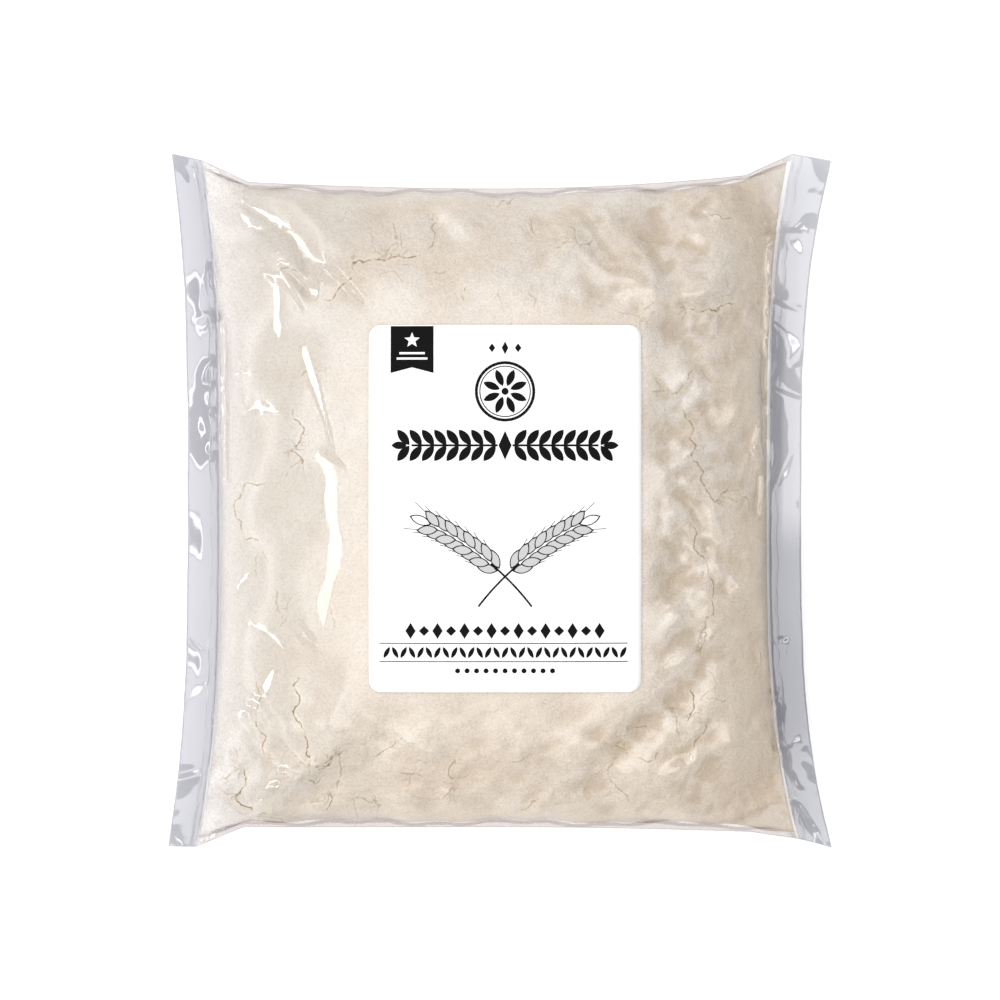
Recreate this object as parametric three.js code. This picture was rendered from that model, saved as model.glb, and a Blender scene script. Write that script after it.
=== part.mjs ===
// A one-kilogram pillow bag of wheat flour, lying on its back with its label up.
// It is a tube of clear film: its two folded sides are the bag's top and bottom edges, and its two
// ends are heat-sealed and stand out as flat fins at the left and right. The flour fills it out to
// the seals and into the four corner ears. Millimetres, +Z up, X towards the right seal, Y towards
// the top edge, with the origin on the surface it lies on, under the middle of the bag.
import * as THREE from "three";

// The bag's sizes
const THICKNESS = 50;
const SEAM_HEIGHT = 16;
const EAR_DROOP = 4;
const FIN_THICKNESS = 0.6;
const FIN_DROOP = 1.2;

// Where each seal starts and where its fin ends, along X: at mid-bag, and at the upper and lower ears.
// The ends flare out towards the ears by this power of the distance from mid-bag.
const FLARE_POWER = 3.2;
const LEFT_FIN_END = { middle: -108, upper: -114, lower: -115.3 };
const LEFT_SEAL = { middle: -97, upper: -103.5, lower: -105.5 };
const RIGHT_SEAL = { middle: 93, upper: 101.5, lower: 103.5 };
const RIGHT_FIN_END = { middle: 104, upper: 115.2, lower: 115 };

// The two folded edges, along Y: at mid-bag, at the notches where the ears begin, and at the corners.
// A notch's place is a share of the way from mid-bag to the seal.
const UPPER_EDGE = { middle: 107.8, notches: [110.2, 112.6], corners: [120.4, 119.6] };
const LOWER_EDGE = { middle: -113.2, notches: [-113.4, -115], corners: [-120.4, -120.4] };
const NOTCH = 0.84;

// How full the pillow is: larger powers give flatter faces and steeper shoulders.
const UPPER_FACE = { alongPower: 2.8, alongRound: 0.54, acrossPower: 3.2, acrossRound: 0.5 };
const LOWER_FACE = { alongPower: 3, alongRound: 0.55, acrossPower: 3.6, acrossRound: 0.5 };
const EAR_TAPER = 0.6;
const EAR_START = 0.7;
const UNDERSIDE_PRESS = 1.35;
const UNDERSIDE_FILLET = 2;

// The flour's settled lumps: each wave is a height, a length along X and Y, and a phase.
const LUMPS = [
  { height: 0.55, alongX: 71, alongY: -93, phase: 0.4 },
  { height: 0.45, alongX: -47, alongY: 61, phase: 2.1 },
  { height: 0.4, alongX: 39, alongY: 52, phase: 4.4 },
  { height: 0.3, alongX: -29, alongY: 43, phase: 1.2 },
];

// Creases pressed into the upper face. Each runs from one point to another, and is a valley of this
// depth and width, fading at its ends, with a lower ridge along its left side.
const RIDGE_SHARE = 0.55;
const RIDGE_OFFSET = 1.4;
const CREASE_FADE = 0.22;
const CREASES = [
  { from: [-86, 110], to: [-62, 82], depth: 3, width: 5 },
  { from: [-80, 88], to: [-52, 62], depth: 1.6, width: 4.5 },
  { from: [-78, 74], to: [-70, 34], depth: 1.3, width: 4 },
  { from: [81, 112], to: [62, 98], depth: 2.6, width: 4.5 },
  { from: [66, 104], to: [86, 84], depth: 1.8, width: 4 },
  { from: [90, 84], to: [88, 52], depth: 2.2, width: 5 },
  { from: [60, 58], to: [84, 66], depth: 1.2, width: 3.5 },
  { from: [50, 44], to: [66, 50], depth: 1, width: 3.5 },
  { from: [-27, 104], to: [-15, 88], depth: 1.8, width: 4 },
  { from: [20, 104], to: [38, 92], depth: 1.2, width: 5 },
  { from: [84, -8], to: [72, -44], depth: 1.4, width: 4.5 },
  { from: [62, -24], to: [70, -62], depth: 1.3, width: 4 },
  { from: [70, -62], to: [36, -92], depth: 1.7, width: 5 },
  { from: [88, -66], to: [90, -96], depth: 2.4, width: 5 },
  { from: [84, -113], to: [64, -104], depth: 2.2, width: 4.5 },
  { from: [14, -98], to: [2, -110], depth: 1.5, width: 4 },
  { from: [-16, -94], to: [-28, -108], depth: 1.3, width: 3.5 },
  { from: [-80, -113], to: [-58, -98], depth: 3, width: 5 },
  { from: [-66, -70], to: [-48, -98], depth: 1.3, width: 4 },
  { from: [-84, -52], to: [-68, -78], depth: 1.4, width: 4.5 },
];

// How far the face has to stand out from the seam before its lumps and creases are at full depth
const RELIEF_FULL = 0.5;

// The fins' ripples: each wave is a height at the fin's end, how many go along the fin, and a phase.
const LEFT_RIPPLES = [
  { height: 0.9, waves: 2.6, phase: 0.6 },
  { height: 0.7, waves: 4.7, phase: 2 },
  { height: 0.4, waves: 8.3, phase: 5 },
];
const RIGHT_RIPPLES = [
  { height: 1.4, waves: 2.2, phase: 3.4 },
  { height: 1.1, waves: 4.1, phase: 1.3 },
  { height: 0.6, waves: 7.4, phase: 0.2 },
];

// The stuck-on label
const LABEL = { width: 92, height: 124, cornerRadius: 4, thickness: 0.35, gap: 0.35, x: 1.7, y: -2.9 };
const LABEL_STIFFNESS = 0.75;
const LABEL_FADE = 14;

// The mesh's fineness
const STEPS_ALONG_PILLOW = 46;
const STEPS_ALONG_FIN = 4;
const STEPS_ACROSS = 48;
const EDGE_CROWDING = 0.6;
const LABEL_STEPS_X = 16;
const LABEL_STEPS_Y = 22;
const LABEL_CORNER_STEPS = 4;
const PLACING_STEPS = 40;

const UPPER = 1;
const LOWER = -1;

const FLOUR_COLOUR = 0xdfd5c8;
const LABEL_COLOUR = 0xfafafa;

const { lerp, clamp, smoothstep } = THREE.MathUtils;

// A seal's or a fin end's X at a place across the bag, from -1 at the lower ear to 1 at the upper ear.
function flared(end, across) {
  const ear = across > 0 ? end.upper : end.lower;
  return lerp(end.middle, ear, Math.abs(across) ** FLARE_POWER);
}

// A folded edge's Y at a place along the bag, from -1 at the left seal to 1 at the right one. It
// bows between the notches and runs straight from each notch to its corner.
function foldedEdge(edge, along) {
  const side = along < 0 ? 0 : 1;
  const distance = Math.min(Math.abs(along), 1);
  if (distance < NOTCH) return lerp(edge.middle, edge.notches[side], (distance / NOTCH) ** 2);
  return lerp(edge.notches[side], edge.corners[side], (distance - NOTCH) / (1 - NOTCH));
}

// How far a face stands out from the seam, from 0 at the outline to 1 in the middle.
function fullness(face, along, across) {
  const a = Math.min(Math.abs(along), 1);
  const b = Math.min(Math.abs(across), 1);
  const thinEnds = face.alongRound + EAR_TAPER * smoothstep(b, EAR_START, 1);
  const thinEdges = face.acrossRound + EAR_TAPER * smoothstep(a, EAR_START, 1);
  return (1 - a ** face.alongPower) ** thinEnds * (1 - b ** face.acrossPower) ** thinEdges;
}

// The height of the seam, where the two faces meet. It droops at the ears.
function seamHeight(along, across) {
  return SEAM_HEIGHT - EAR_DROOP * (Math.min(Math.abs(along), 1) * Math.abs(across)) ** 4;
}

function lumps(x, y) {
  const turn = ({ alongX, alongY, phase }) => 2 * Math.PI * (x / alongX + y / alongY) + phase;
  return LUMPS.reduce((sum, wave) => sum + wave.height * Math.sin(turn(wave)), 0);
}

// One crease's height at a point: a valley along its line, and a ridge one width to its left.
function crease({ from, to, depth, width }, x, y) {
  const [dx, dy] = [to[0] - from[0], to[1] - from[1]];
  const length = Math.hypot(dx, dy);
  const share = ((x - from[0]) * dx + (y - from[1]) * dy) / length ** 2;
  const left = ((y - from[1]) * dx - (x - from[0]) * dy) / length;
  const inward = Math.min(share, 1 - share);
  const taper = smoothstep(inward, -CREASE_FADE, CREASE_FADE);
  const valley = Math.exp(-((left / width) ** 2));
  const ridge = Math.exp(-(((left - RIDGE_OFFSET * width) / width) ** 2));
  return depth * taper * (RIDGE_SHARE * ridge - valley);
}

// The label stiffens the film that it is stuck to: 1 well away from it, and less under it.
function freedom(x, y) {
  const beyond = Math.max(Math.abs(x - LABEL.x) - LABEL.width / 2, Math.abs(y - LABEL.y) - LABEL.height / 2);
  return 1 - LABEL_STIFFNESS * (1 - smoothstep(beyond, 0, LABEL_FADE));
}

// The plan position of a point of the pillow.
function planPoint(along, across) {
  const left = flared(LEFT_SEAL, across);
  const right = flared(RIGHT_SEAL, across);
  const upper = foldedEdge(UPPER_EDGE, along);
  const lower = foldedEdge(LOWER_EDGE, along);
  return [lerp(left, right, (along + 1) / 2), lerp(lower, upper, (across + 1) / 2)];
}

function upperHeight(along, across) {
  const [x, y] = planPoint(along, across);
  const seam = seamHeight(along, across);
  const full = fullness(UPPER_FACE, along, across);
  const relief = lumps(x, y) + CREASES.reduce((sum, one) => sum + crease(one, x, y), 0);
  const shown = relief * freedom(x, y) * smoothstep(full, 0, RELIEF_FULL);
  return seam + FIN_THICKNESS / 2 + (THICKNESS - seam) * full + shown;
}

// The underside is pressed flat where it rests, with a rounded start to the flat.
function lowerHeight(along, across) {
  const seam = seamHeight(along, across) - FIN_THICKNESS / 2;
  const free = seam * (1 - UNDERSIDE_PRESS * fullness(LOWER_FACE, along, across));
  if (free < -UNDERSIDE_FILLET) return 0;
  if (free > UNDERSIDE_FILLET) return free;
  return (free + UNDERSIDE_FILLET) ** 2 / (4 * UNDERSIDE_FILLET);
}

function ripple(waves, across) {
  return waves.reduce(
    (sum, wave) => sum + wave.height * Math.sin(Math.PI * wave.waves * across + wave.phase),
    0,
  );
}

// A point of a fin, offset from its middle sheet. reach is 0 at the seal and 1 at the fin's end.
function finPoint(seal, end, waves, side, reach, across, offset) {
  const seamY = planPoint(side, across)[1];
  const x = lerp(flared(seal, across), flared(end, across), reach);
  const wave = ripple(waves, across) * smoothstep(reach, 0, 1);
  return [x, seamY, seamHeight(side, across) + wave - FIN_DROOP * reach ** 2 + offset];
}

// Steps from -1 to 1, crowded towards both ends.
function crowdedSteps(count) {
  return Array.from({ length: count + 1 }, (_, i) => {
    const even = (2 * i) / count - 1;
    return lerp(even, Math.sin((Math.PI / 2) * even), EDGE_CROWDING);
  });
}

// Every station along the bag, from the left fin's end to the right one's: each gives its point on the
// upper or lower face at a place across the bag.
function stations() {
  const fin = (seal, end, waves, side, reach) => (across, face) =>
    finPoint(seal, end, waves, side, reach, across, (face * FIN_THICKNESS) / 2);
  const pillow = (along) => (across, face) => [
    ...planPoint(along, across),
    face === UPPER ? upperHeight(along, across) : lowerHeight(along, across),
  ];
  const reaches = Array.from({ length: STEPS_ALONG_FIN }, (_, i) => (i + 1) / STEPS_ALONG_FIN);
  return [
    ...reaches.toReversed().map((reach) => fin(LEFT_SEAL, LEFT_FIN_END, LEFT_RIPPLES, -1, reach)),
    ...crowdedSteps(STEPS_ALONG_PILLOW).map(pillow),
    ...reaches.map((reach) => fin(RIGHT_SEAL, RIGHT_FIN_END, RIGHT_RIPPLES, 1, reach)),
  ];
}

// A closed sheet between two grids of points that match row for row: an upper and a lower skin with
// a wall all round.
function closedSheet(upperRows, lowerRows) {
  const rings = upperRows.map((row, i) => [...row, ...lowerRows[i].toReversed()]);
  const width = upperRows[0].length;
  const size = 2 * width;
  const last = (rings.length - 1) * size;
  const triangles = [];
  const quad = (a, b, c, d) => triangles.push(a, b, c, a, c, d);
  for (let start = 0; start < last; start += size) {
    for (let k = 0; k < size; k++) {
      const next = (k + 1) % size;
      quad(start + k, start + size + k, start + size + next, start + next);
    }
  }
  for (let k = 0; k + 1 < width; k++) {
    const under = size - 1 - k;
    quad(k, k + 1, under - 1, under);
    quad(last + under, last + under - 1, last + k + 1, last + k);
  }
  const geometry = new THREE.BufferGeometry();
  geometry.setAttribute("position", new THREE.Float32BufferAttribute(rings.flat(2), 3));
  geometry.setIndex(triangles);
  geometry.computeVertexNormals();
  return geometry;
}

// The whole bag, fins and pillow, as one closed solid.
function bagGeometry() {
  const across = crowdedSteps(STEPS_ACROSS);
  const rows = (face) => stations().map((pointAt) => across.map((place) => pointAt(place, face)));
  return closedSheet(rows(UPPER), rows(LOWER));
}

// The upper face's height at a plan position, found by walking along and across to meet it.
function upperHeightAt(x, y) {
  let [along, across] = [0, 0];
  for (let step = 0; step < PLACING_STEPS; step++) {
    const [px, py] = planPoint(along, across);
    along = clamp(along + (x - px) / (RIGHT_SEAL.middle - LEFT_SEAL.middle), -1, 1);
    across = clamp(across + (y - py) / (UPPER_EDGE.middle - LOWER_EDGE.middle), -1, 1);
  }
  return upperHeight(along, across);
}

// The half-width of the label at a distance from its middle line, with its corners rounded.
function labelHalfWidth(fromMiddle) {
  const { width, height, cornerRadius: r } = LABEL;
  const intoCorner = Math.max(0, Math.abs(fromMiddle) - (height / 2 - r));
  return width / 2 - r + Math.sqrt(Math.max(0, r * r - intoCorner * intoCorner));
}

// The label as a thin closed sheet that follows the bag's face, a small gap above it.
function labelGeometry() {
  const { height, cornerRadius: r } = LABEL;
  const straight = Array.from({ length: LABEL_STEPS_Y + 1 }, (_, i) => {
    return (height - 2 * r) * (i / LABEL_STEPS_Y - 0.5);
  });
  const corner = Array.from({ length: LABEL_CORNER_STEPS }, (_, i) => {
    const angle = ((i + 1) / LABEL_CORNER_STEPS) * (Math.PI / 2);
    return height / 2 - r + r * Math.sin(angle);
  });
  const heights = [...corner.map((y) => -y).reverse(), ...straight, ...corner];
  const sides = Array.from({ length: LABEL_STEPS_X + 1 }, (_, i) => 1 - (2 * i) / LABEL_STEPS_X);
  const point = (fromMiddle, side, lift) => {
    const x = LABEL.x + side * labelHalfWidth(fromMiddle);
    const y = LABEL.y + fromMiddle;
    return [x, y, upperHeightAt(x, y) + LABEL.gap + lift];
  };
  const rows = (lift) => heights.map((fromMiddle) => sides.map((side) => point(fromMiddle, side, lift)));
  return closedSheet(rows(LABEL.thickness), rows(0));
}

function piece(name, geometry, material) {
  const mesh = new THREE.Mesh(geometry, material);
  mesh.name = name;
  return mesh;
}

const filledFilm = new THREE.MeshStandardMaterial({ color: FLOUR_COLOUR, roughness: 0.45, metalness: 0 });
const labelPaper = new THREE.MeshStandardMaterial({ color: LABEL_COLOUR, roughness: 0.6, metalness: 0 });

const flourBag = new THREE.Group();
flourBag.name = "flour_bag";
flourBag.add(piece("bag", bagGeometry(), filledFilm));
flourBag.add(piece("label", labelGeometry(), labelPaper));

export default flourBag;
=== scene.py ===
"""A one-kilogram clear film bag of wheat flour, lying on its back, seen from straight above.

The bag is a tube of clear polyethylene film with a heat seal at each end. Its two folded edges are
the bag's upper and lower edges in the picture, and the sealed ends stand out as flat fins. The film
is relaxed over the settled flour, so that its spare width buckles into creases, and the flour then
takes the film's form. Lengths are millimetres until a mesh is made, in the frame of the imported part.
"""

from __future__ import annotations

import logging
import math
from dataclasses import dataclass
from enum import Enum
from typing import Any

import bpy
import numpy as np
from bpy.types import Material, NodeSocket, NodeTree, Object
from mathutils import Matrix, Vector


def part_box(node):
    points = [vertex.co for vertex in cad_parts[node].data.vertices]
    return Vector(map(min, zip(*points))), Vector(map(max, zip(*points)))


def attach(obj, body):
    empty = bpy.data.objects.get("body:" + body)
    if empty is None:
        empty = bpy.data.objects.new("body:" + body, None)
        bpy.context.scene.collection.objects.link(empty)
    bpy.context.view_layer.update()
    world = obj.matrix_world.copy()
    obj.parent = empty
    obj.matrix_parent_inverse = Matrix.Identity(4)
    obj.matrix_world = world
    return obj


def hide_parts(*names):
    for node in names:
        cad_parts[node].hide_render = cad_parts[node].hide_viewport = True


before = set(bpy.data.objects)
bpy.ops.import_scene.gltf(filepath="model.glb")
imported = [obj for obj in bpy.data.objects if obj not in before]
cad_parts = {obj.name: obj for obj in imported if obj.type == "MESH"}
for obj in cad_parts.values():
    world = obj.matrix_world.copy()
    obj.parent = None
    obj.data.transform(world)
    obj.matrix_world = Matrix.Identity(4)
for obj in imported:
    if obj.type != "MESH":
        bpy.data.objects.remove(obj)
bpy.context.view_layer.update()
LOG = logging.getLogger("flour_bag")

MM = 0.001
FIELD_REACH = 170.0
FOLD_STRETCH = 2.6
FOLD_BEND = 0.6
BEND_SIZE = 1.5
BODY = "root"
SUBTRACT, ADD, MULTIPLY, DIVIDE, POWER, MULTIPLY_ADD, ABSOLUTE = (
    {"operation": name}
    for name in ("SUBTRACT", "ADD", "MULTIPLY", "DIVIDE", "POWER", "MULTIPLY_ADD", "ABSOLUTE")
)
COLOUR_MIX = {"data_type": "RGBA"}
Array = np.ndarray
Point = tuple[float, float]
Triples = tuple[tuple[float, float, float], ...]


class Face(Enum):
    """The two sheets of the film tube, by their place in the sheets' array."""

    UPPER = 0
    LOWER = 1

    @property
    def outward(self) -> float:
        """Return the sign of the face's outward Z."""
        return 1.0 if self is Face.UPPER else -1.0


# Small helpers


def linear(hex_colour: str) -> tuple[float, float, float, float]:
    """Turn an sRGB hex colour into a linear one.

    Args:
        hex_colour: The colour as "#rrggbb".

    Returns:
        Linear red, green, blue and an alpha of 1.
    """
    parts = [int(hex_colour[i : i + 2], 16) / 255 for i in (1, 3, 5)]
    red, green, blue = (c / 12.92 if c <= 0.04045 else ((c + 0.055) / 1.055) ** 2.4 for c in parts)
    return red, green, blue, 1.0


def smoothstep(value: Array, low: float, high: float) -> Array:
    """Return a curve that rises smoothly from 0 at low to 1 at high."""
    share = np.clip((value - low) / (high - low), 0, 1)
    return share * share * (3 - 2 * share)


def line_distance(x: Array, y: Array, line: list[Point]) -> tuple[Array, Array]:
    """Measure how far points lie from a polyline.

    Args:
        x: The points' X.
        y: The points' Y.
        line: The polyline's corners.

    Returns:
        The distances, positive on the line's left, and how far along the line the nearest place is,
        as a share of its length.
    """
    corners = np.array(line, float)
    steps = np.linalg.norm(np.diff(corners, axis=0), axis=1)
    starts = np.concatenate([[0], np.cumsum(steps)])
    nearest = np.full(x.shape, np.inf)
    side = np.ones(x.shape)
    along = np.zeros(x.shape)
    for index, length in enumerate(steps):
        (ax, ay), (bx, by) = corners[index], corners[index + 1]
        dx, dy = (bx - ax) / length, (by - ay) / length
        run = np.clip((x - ax) * dx + (y - ay) * dy, 0, length)
        distance = np.hypot(x - ax - run * dx, y - ay - run * dy)
        closer = distance < nearest
        left = np.where((y - ay) * dx - (x - ax) * dy >= 0, 1.0, -1.0)
        nearest = np.where(closer, distance, nearest)
        side = np.where(closer, left, side)
        along = np.where(closer, (starts[index] + run) / starts[-1], along)
    return nearest * side, along


def sampled(grids: Array, i: Array, j: Array) -> Array:
    """Read a stack of grids between its points, in straight lines.

    Args:
        grids: An array of stack, rows, columns and values.
        i: The row wanted for each place, in fractions.
        j: The column wanted.

    Returns:
        The stack's values at the places.
    """
    low_i = np.clip(i.astype(int), 0, grids.shape[1] - 2)
    low_j = np.clip(j.astype(int), 0, grids.shape[2] - 2)
    share_i, share_j = (i - low_i)[..., None], (j - low_j)[..., None]
    near = grids[:, low_i, low_j] * (1 - share_i) + grids[:, low_i + 1, low_j] * share_i
    far = grids[:, low_i, low_j + 1] * (1 - share_i) + grids[:, low_i + 1, low_j + 1] * share_i
    return near * (1 - share_j) + far * share_j


def resampled(grids: Array, rows: int, columns: int) -> Array:
    """Resample the two middle axes of a stack of grids.

    Args:
        grids: An array of stack, rows, columns and values.
        rows: The number of rows wanted.
        columns: The number of columns wanted.

    Returns:
        The stack on the new grid.
    """
    i = np.linspace(0, grids.shape[1] - 1, rows)
    j = np.linspace(0, grids.shape[2] - 1, columns)
    return sampled(grids, *np.meshgrid(i, j, indexing="ij"))


def second_difference(grids: Array) -> Array:
    """Return how far each point of a stack of grids lies from its neighbours' middle.

    Args:
        grids: An array of stack, rows, columns and values.

    Returns:
        The sum of the second differences along both axes.
    """
    result = np.zeros_like(grids)
    result[:, 1:-1] += grids[:, :-2] + grids[:, 2:] - 2 * grids[:, 1:-1]
    result[:, :, 1:-1] += grids[:, :, :-2] + grids[:, :, 2:] - 2 * grids[:, :, 1:-1]
    return result


def rough_field(random: np.random.Generator, x: Array, y: Array, size: float) -> Array:
    """Return smooth random values from -1 to 1 over plan positions, the same for the same places.

    Args:
        random: The seeded source of random numbers.
        x: The positions' X.
        y: Their Y.
        size: How far apart the bumps stand, in millimetres.

    Returns:
        One value for each position.
    """
    i, j = (x + FIELD_REACH) / size, (y + FIELD_REACH) / size
    count = int(2 * FIELD_REACH / size) + 2
    lattice = random.uniform(-1, 1, (1, count, count, 1))
    i, j = (np.floor(k) + smoothstep(k % 1, 0, 1) for k in (i, j))
    return sampled(lattice, i, j)[0, ..., 0]


def fold_field(random: np.random.Generator, x: Array, y: Array, size: float, angle: float) -> Array:
    """Return crooked folds that run mostly one way: 0 along each fold's line, more between folds.

    Args:
        random: The seeded source of random numbers.
        x: Plan positions' X.
        y: Their Y.
        size: How far apart the folds stand, in millimetres.
        angle: The way they run, in degrees from +X.

    Returns:
        One value for each position, from 0 to 1.
    """
    turn = math.radians(angle)
    along = x * math.cos(turn) + y * math.sin(turn)
    across = y * math.cos(turn) - x * math.sin(turn)
    along = along + FOLD_BEND * size * rough_field(random, x, y, BEND_SIZE * size)
    across = across + FOLD_BEND * size * rough_field(random, x, y, BEND_SIZE * size)
    return np.abs(rough_field(random, along / FOLD_STRETCH, across, size))


def sheet_normals(sheet: Array) -> Array:
    """Return a grid of points' unit normals, towards +Z where the sheet lies flat."""
    normals = np.cross(np.gradient(sheet, axis=0), np.gradient(sheet, axis=1))
    return normals / np.linalg.norm(normals, axis=-1, keepdims=True)


def blurred(grids: Array, times: int) -> Array:
    """Smooth the two middle axes of a stack of grids, keeping their borders.

    Args:
        grids: An array of stack, rows, columns and any values.
        times: How many passes to make.

    Returns:
        The smoothed stack.
    """
    result = grids.copy()
    for _ in range(times):
        result[:, 1:-1] = (result[:, :-2] + result[:, 2:] + 2 * result[:, 1:-1]) / 4
        result[:, :, 1:-1] = (result[:, :, :-2] + result[:, :, 2:] + 2 * result[:, :, 1:-1]) / 4
    return result


def mesh_object(name: str, points: Array, faces: list[tuple[int, ...]]) -> Object:
    """Make a smooth-shaded mesh object from points in millimetres.

    Args:
        name: The piece's name.
        points: One row of X, Y and Z for each point.
        faces: The faces' point numbers.

    Returns:
        The object, linked to the scene.
    """
    mesh = bpy.data.meshes.new(name)
    mesh.from_pydata((points * MM).tolist(), [], faces)
    mesh.validate()
    mesh.shade_smooth()
    piece = bpy.data.objects.new(name, mesh)
    bpy.context.scene.collection.objects.link(piece)
    return piece


def closed_sheet(name: str, upper: Array, lower: Array) -> Object:
    """Make a closed shell from two grids of points that match, with a wall all round.

    Args:
        name: The piece's name.
        upper: The upper skin's points, by row and column.
        lower: The lower skin's points, by row and column.

    Returns:
        The mesh object.
    """
    rows, width = upper.shape[:2]
    size = 2 * width
    points = np.concatenate([upper, lower[:, ::-1]], axis=1).reshape(-1, 3)
    start = np.arange(rows - 1)[:, None] * size
    k = np.arange(size)[None, :]
    following = (k + 1) % size
    sides = np.stack([start + k, start + size + k, start + size + following, start + following], -1)
    k = np.arange(width - 1)
    last = (rows - 1) * size
    first_cap = np.stack([k, k + 1, size - 2 - k, size - 1 - k], -1)
    last_cap = np.stack([size - 1 - k, size - 2 - k, k + 1, k], -1) + last
    faces = np.concatenate([sides.reshape(-1, 4), first_cap, last_cap])
    return mesh_object(name, points, [tuple(face) for face in faces.tolist()])


def sheet_values(upper: Array, lower: Array) -> Array:
    """Return both skins' values in the order of closed_sheet's points."""
    return np.concatenate([upper, lower[:, ::-1]], axis=1).reshape(-1)


def store(piece: Object, name: str, values: Array) -> None:
    """Keep one number for each point of a mesh, for its material to read."""
    attribute = piece.data.attributes.new(name, "FLOAT", "POINT")
    attribute.data.foreach_set("value", values.astype(np.float32))


def add_node(
    tree: NodeTree,
    kind: str,
    settings: dict[str, Any] | None = None,
    inputs: dict[str | int, Any] | None = None,
    output: str | int = 0,
) -> NodeSocket:
    """Add a shader node with its settings, and its inputs' values or links.

    Args:
        tree: The material's node tree.
        kind: The node's type name, without its "ShaderNode" start.
        settings: The node's own properties.
        inputs: For each socket's name or number, a value or an output socket to link.
        output: The name or number of the output that is wanted.

    Returns:
        That output's socket, or the node's first input where it has no output.
    """
    node = tree.nodes.new("ShaderNode" + kind)
    for name, value in (settings or {}).items():
        setattr(node, name, value)
    for name, value in (inputs or {}).items():
        if isinstance(value, NodeSocket):
            tree.links.new(value, node.inputs[name])
        else:
            node.inputs[name].default_value = value
    return node.outputs[output] if node.outputs else node.inputs[0]


def new_material(name: str) -> tuple[Material, NodeTree]:
    """Make a material with an empty node tree.

    Args:
        name: The material's name.

    Returns:
        The material and its tree.
    """
    material = bpy.data.materials.new(name)
    material.use_nodes = True
    material.node_tree.nodes.clear()
    return material, material.node_tree


def scale_for(size: float) -> float:
    """Return the texture scale that makes a pattern's features this many millimetres across."""
    return 1 / (size * MM)


# The bag's form


@dataclass(frozen=True)
class Flare:
    """A line across the bag, by its X at mid-bag and at the upper and lower ears."""

    middle: float
    upper: float
    lower: float


@dataclass(frozen=True)
class FoldedEdge:
    """A folded edge of the tube, by its Y at mid-bag, at the notches, the corners and the fins' tips."""

    middle: float
    notches: Point
    corners: Point
    tips: Point


@dataclass(frozen=True)
class Bulge:
    """How full a face is: larger powers give a flatter face with steeper shoulders."""

    along_power: float
    along_round: float
    across_power: float
    across_round: float


@dataclass(frozen=True)
class Crease:
    """A valley pressed into the upper face, with a lower ridge along its left side."""

    start: Point
    end: Point
    depth: float
    width: float


@dataclass(frozen=True)
class FilmRidge:
    """A fold of spare film that stands up from the flour along a polyline."""

    line: tuple[Point, ...]
    height: float
    width: float


class Flank(Enum):
    """How steeply taut film falls towards +X at mid-bag, level sideways: a fold's flank, or a flat."""

    STEEP = 0.664
    GENTLE = 0.26


@dataclass(frozen=True)
class TautFold:
    """A narrow flat of film pulled taut: its middle line from above, its widths and its slope."""

    line: tuple[Point, ...]
    widths: tuple[float, ...]
    flank: Flank = Flank.STEEP


CREASES = (
    Crease((-86, 110), (-62, 82), 3, 5),
    Crease((81, 112), (62, 98), 2.6, 4.5),
    Crease((66, 104), (86, 84), 1.8, 4),
    Crease((90, 84), (88, 52), 2.2, 5),
    Crease((60, 58), (84, 66), 1.2, 3.5),
    Crease((50, 44), (66, 50), 1, 3.5),
    Crease((-27, 104), (-15, 88), 1.8, 4),
    Crease((20, 104), (38, 92), 1.2, 5),
    Crease((84, -8), (72, -44), 1.4, 4.5),
    Crease((56, 12), (67, -6), 1.2, 2.6),
    Crease((67, -6), (73, -27), 1.0, 2.4),
    Crease((52, 8), (56, -8), 1.0, 2.6),
    Crease((71, 4), (88, 6), 1.2, 2.8),
    Crease((78, 15), (88, 32), 1.1, 3),
    Crease((80, -8), (89, 0), 1.1, 2.6),
    Crease((74, -40), (86, -31), 1.3, 2.6),
    Crease((47, -13), (62, -8), 0.9, 2.4),
    Crease((52, -36), (70, -20), 0.9, 2.4),
    Crease((62, -24), (70, -62), 1.3, 4),
    Crease((70, -62), (36, -92), 1.7, 5),
    Crease((88, -66), (90, -96), 2.4, 5),
    Crease((84, -113), (64, -104), 2.2, 4.5),
    Crease((14, -98), (2, -110), 1.5, 4),
    Crease((-16, -94), (-28, -108), 1.3, 3.5),
    Crease((-80, -113), (-58, -98), 3, 5),
)

FILM_RIDGES = (
    FilmRidge(((85, 89), (81, 95), (75, 99), (68, 101)), 1.3, 2.2),
    FilmRidge(((79, 107), (83, 104)), 0.9, 1.6),
    FilmRidge(((69, 61), (66, 67), (84, 75), (93, 77)), 1.0, 3.0),
    FilmRidge(((71, -48), (52, -66), (31, -88)), 1.3, 5.0),
    FilmRidge(((92, 48), (87, 21), (89, 7)), 0.9, 2.4),
    FilmRidge(((79, -106), (93, -111)), 1.0, 2.0),
    FilmRidge(((91, -66), (95, -90)), 0.8, 2.4),
)

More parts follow.
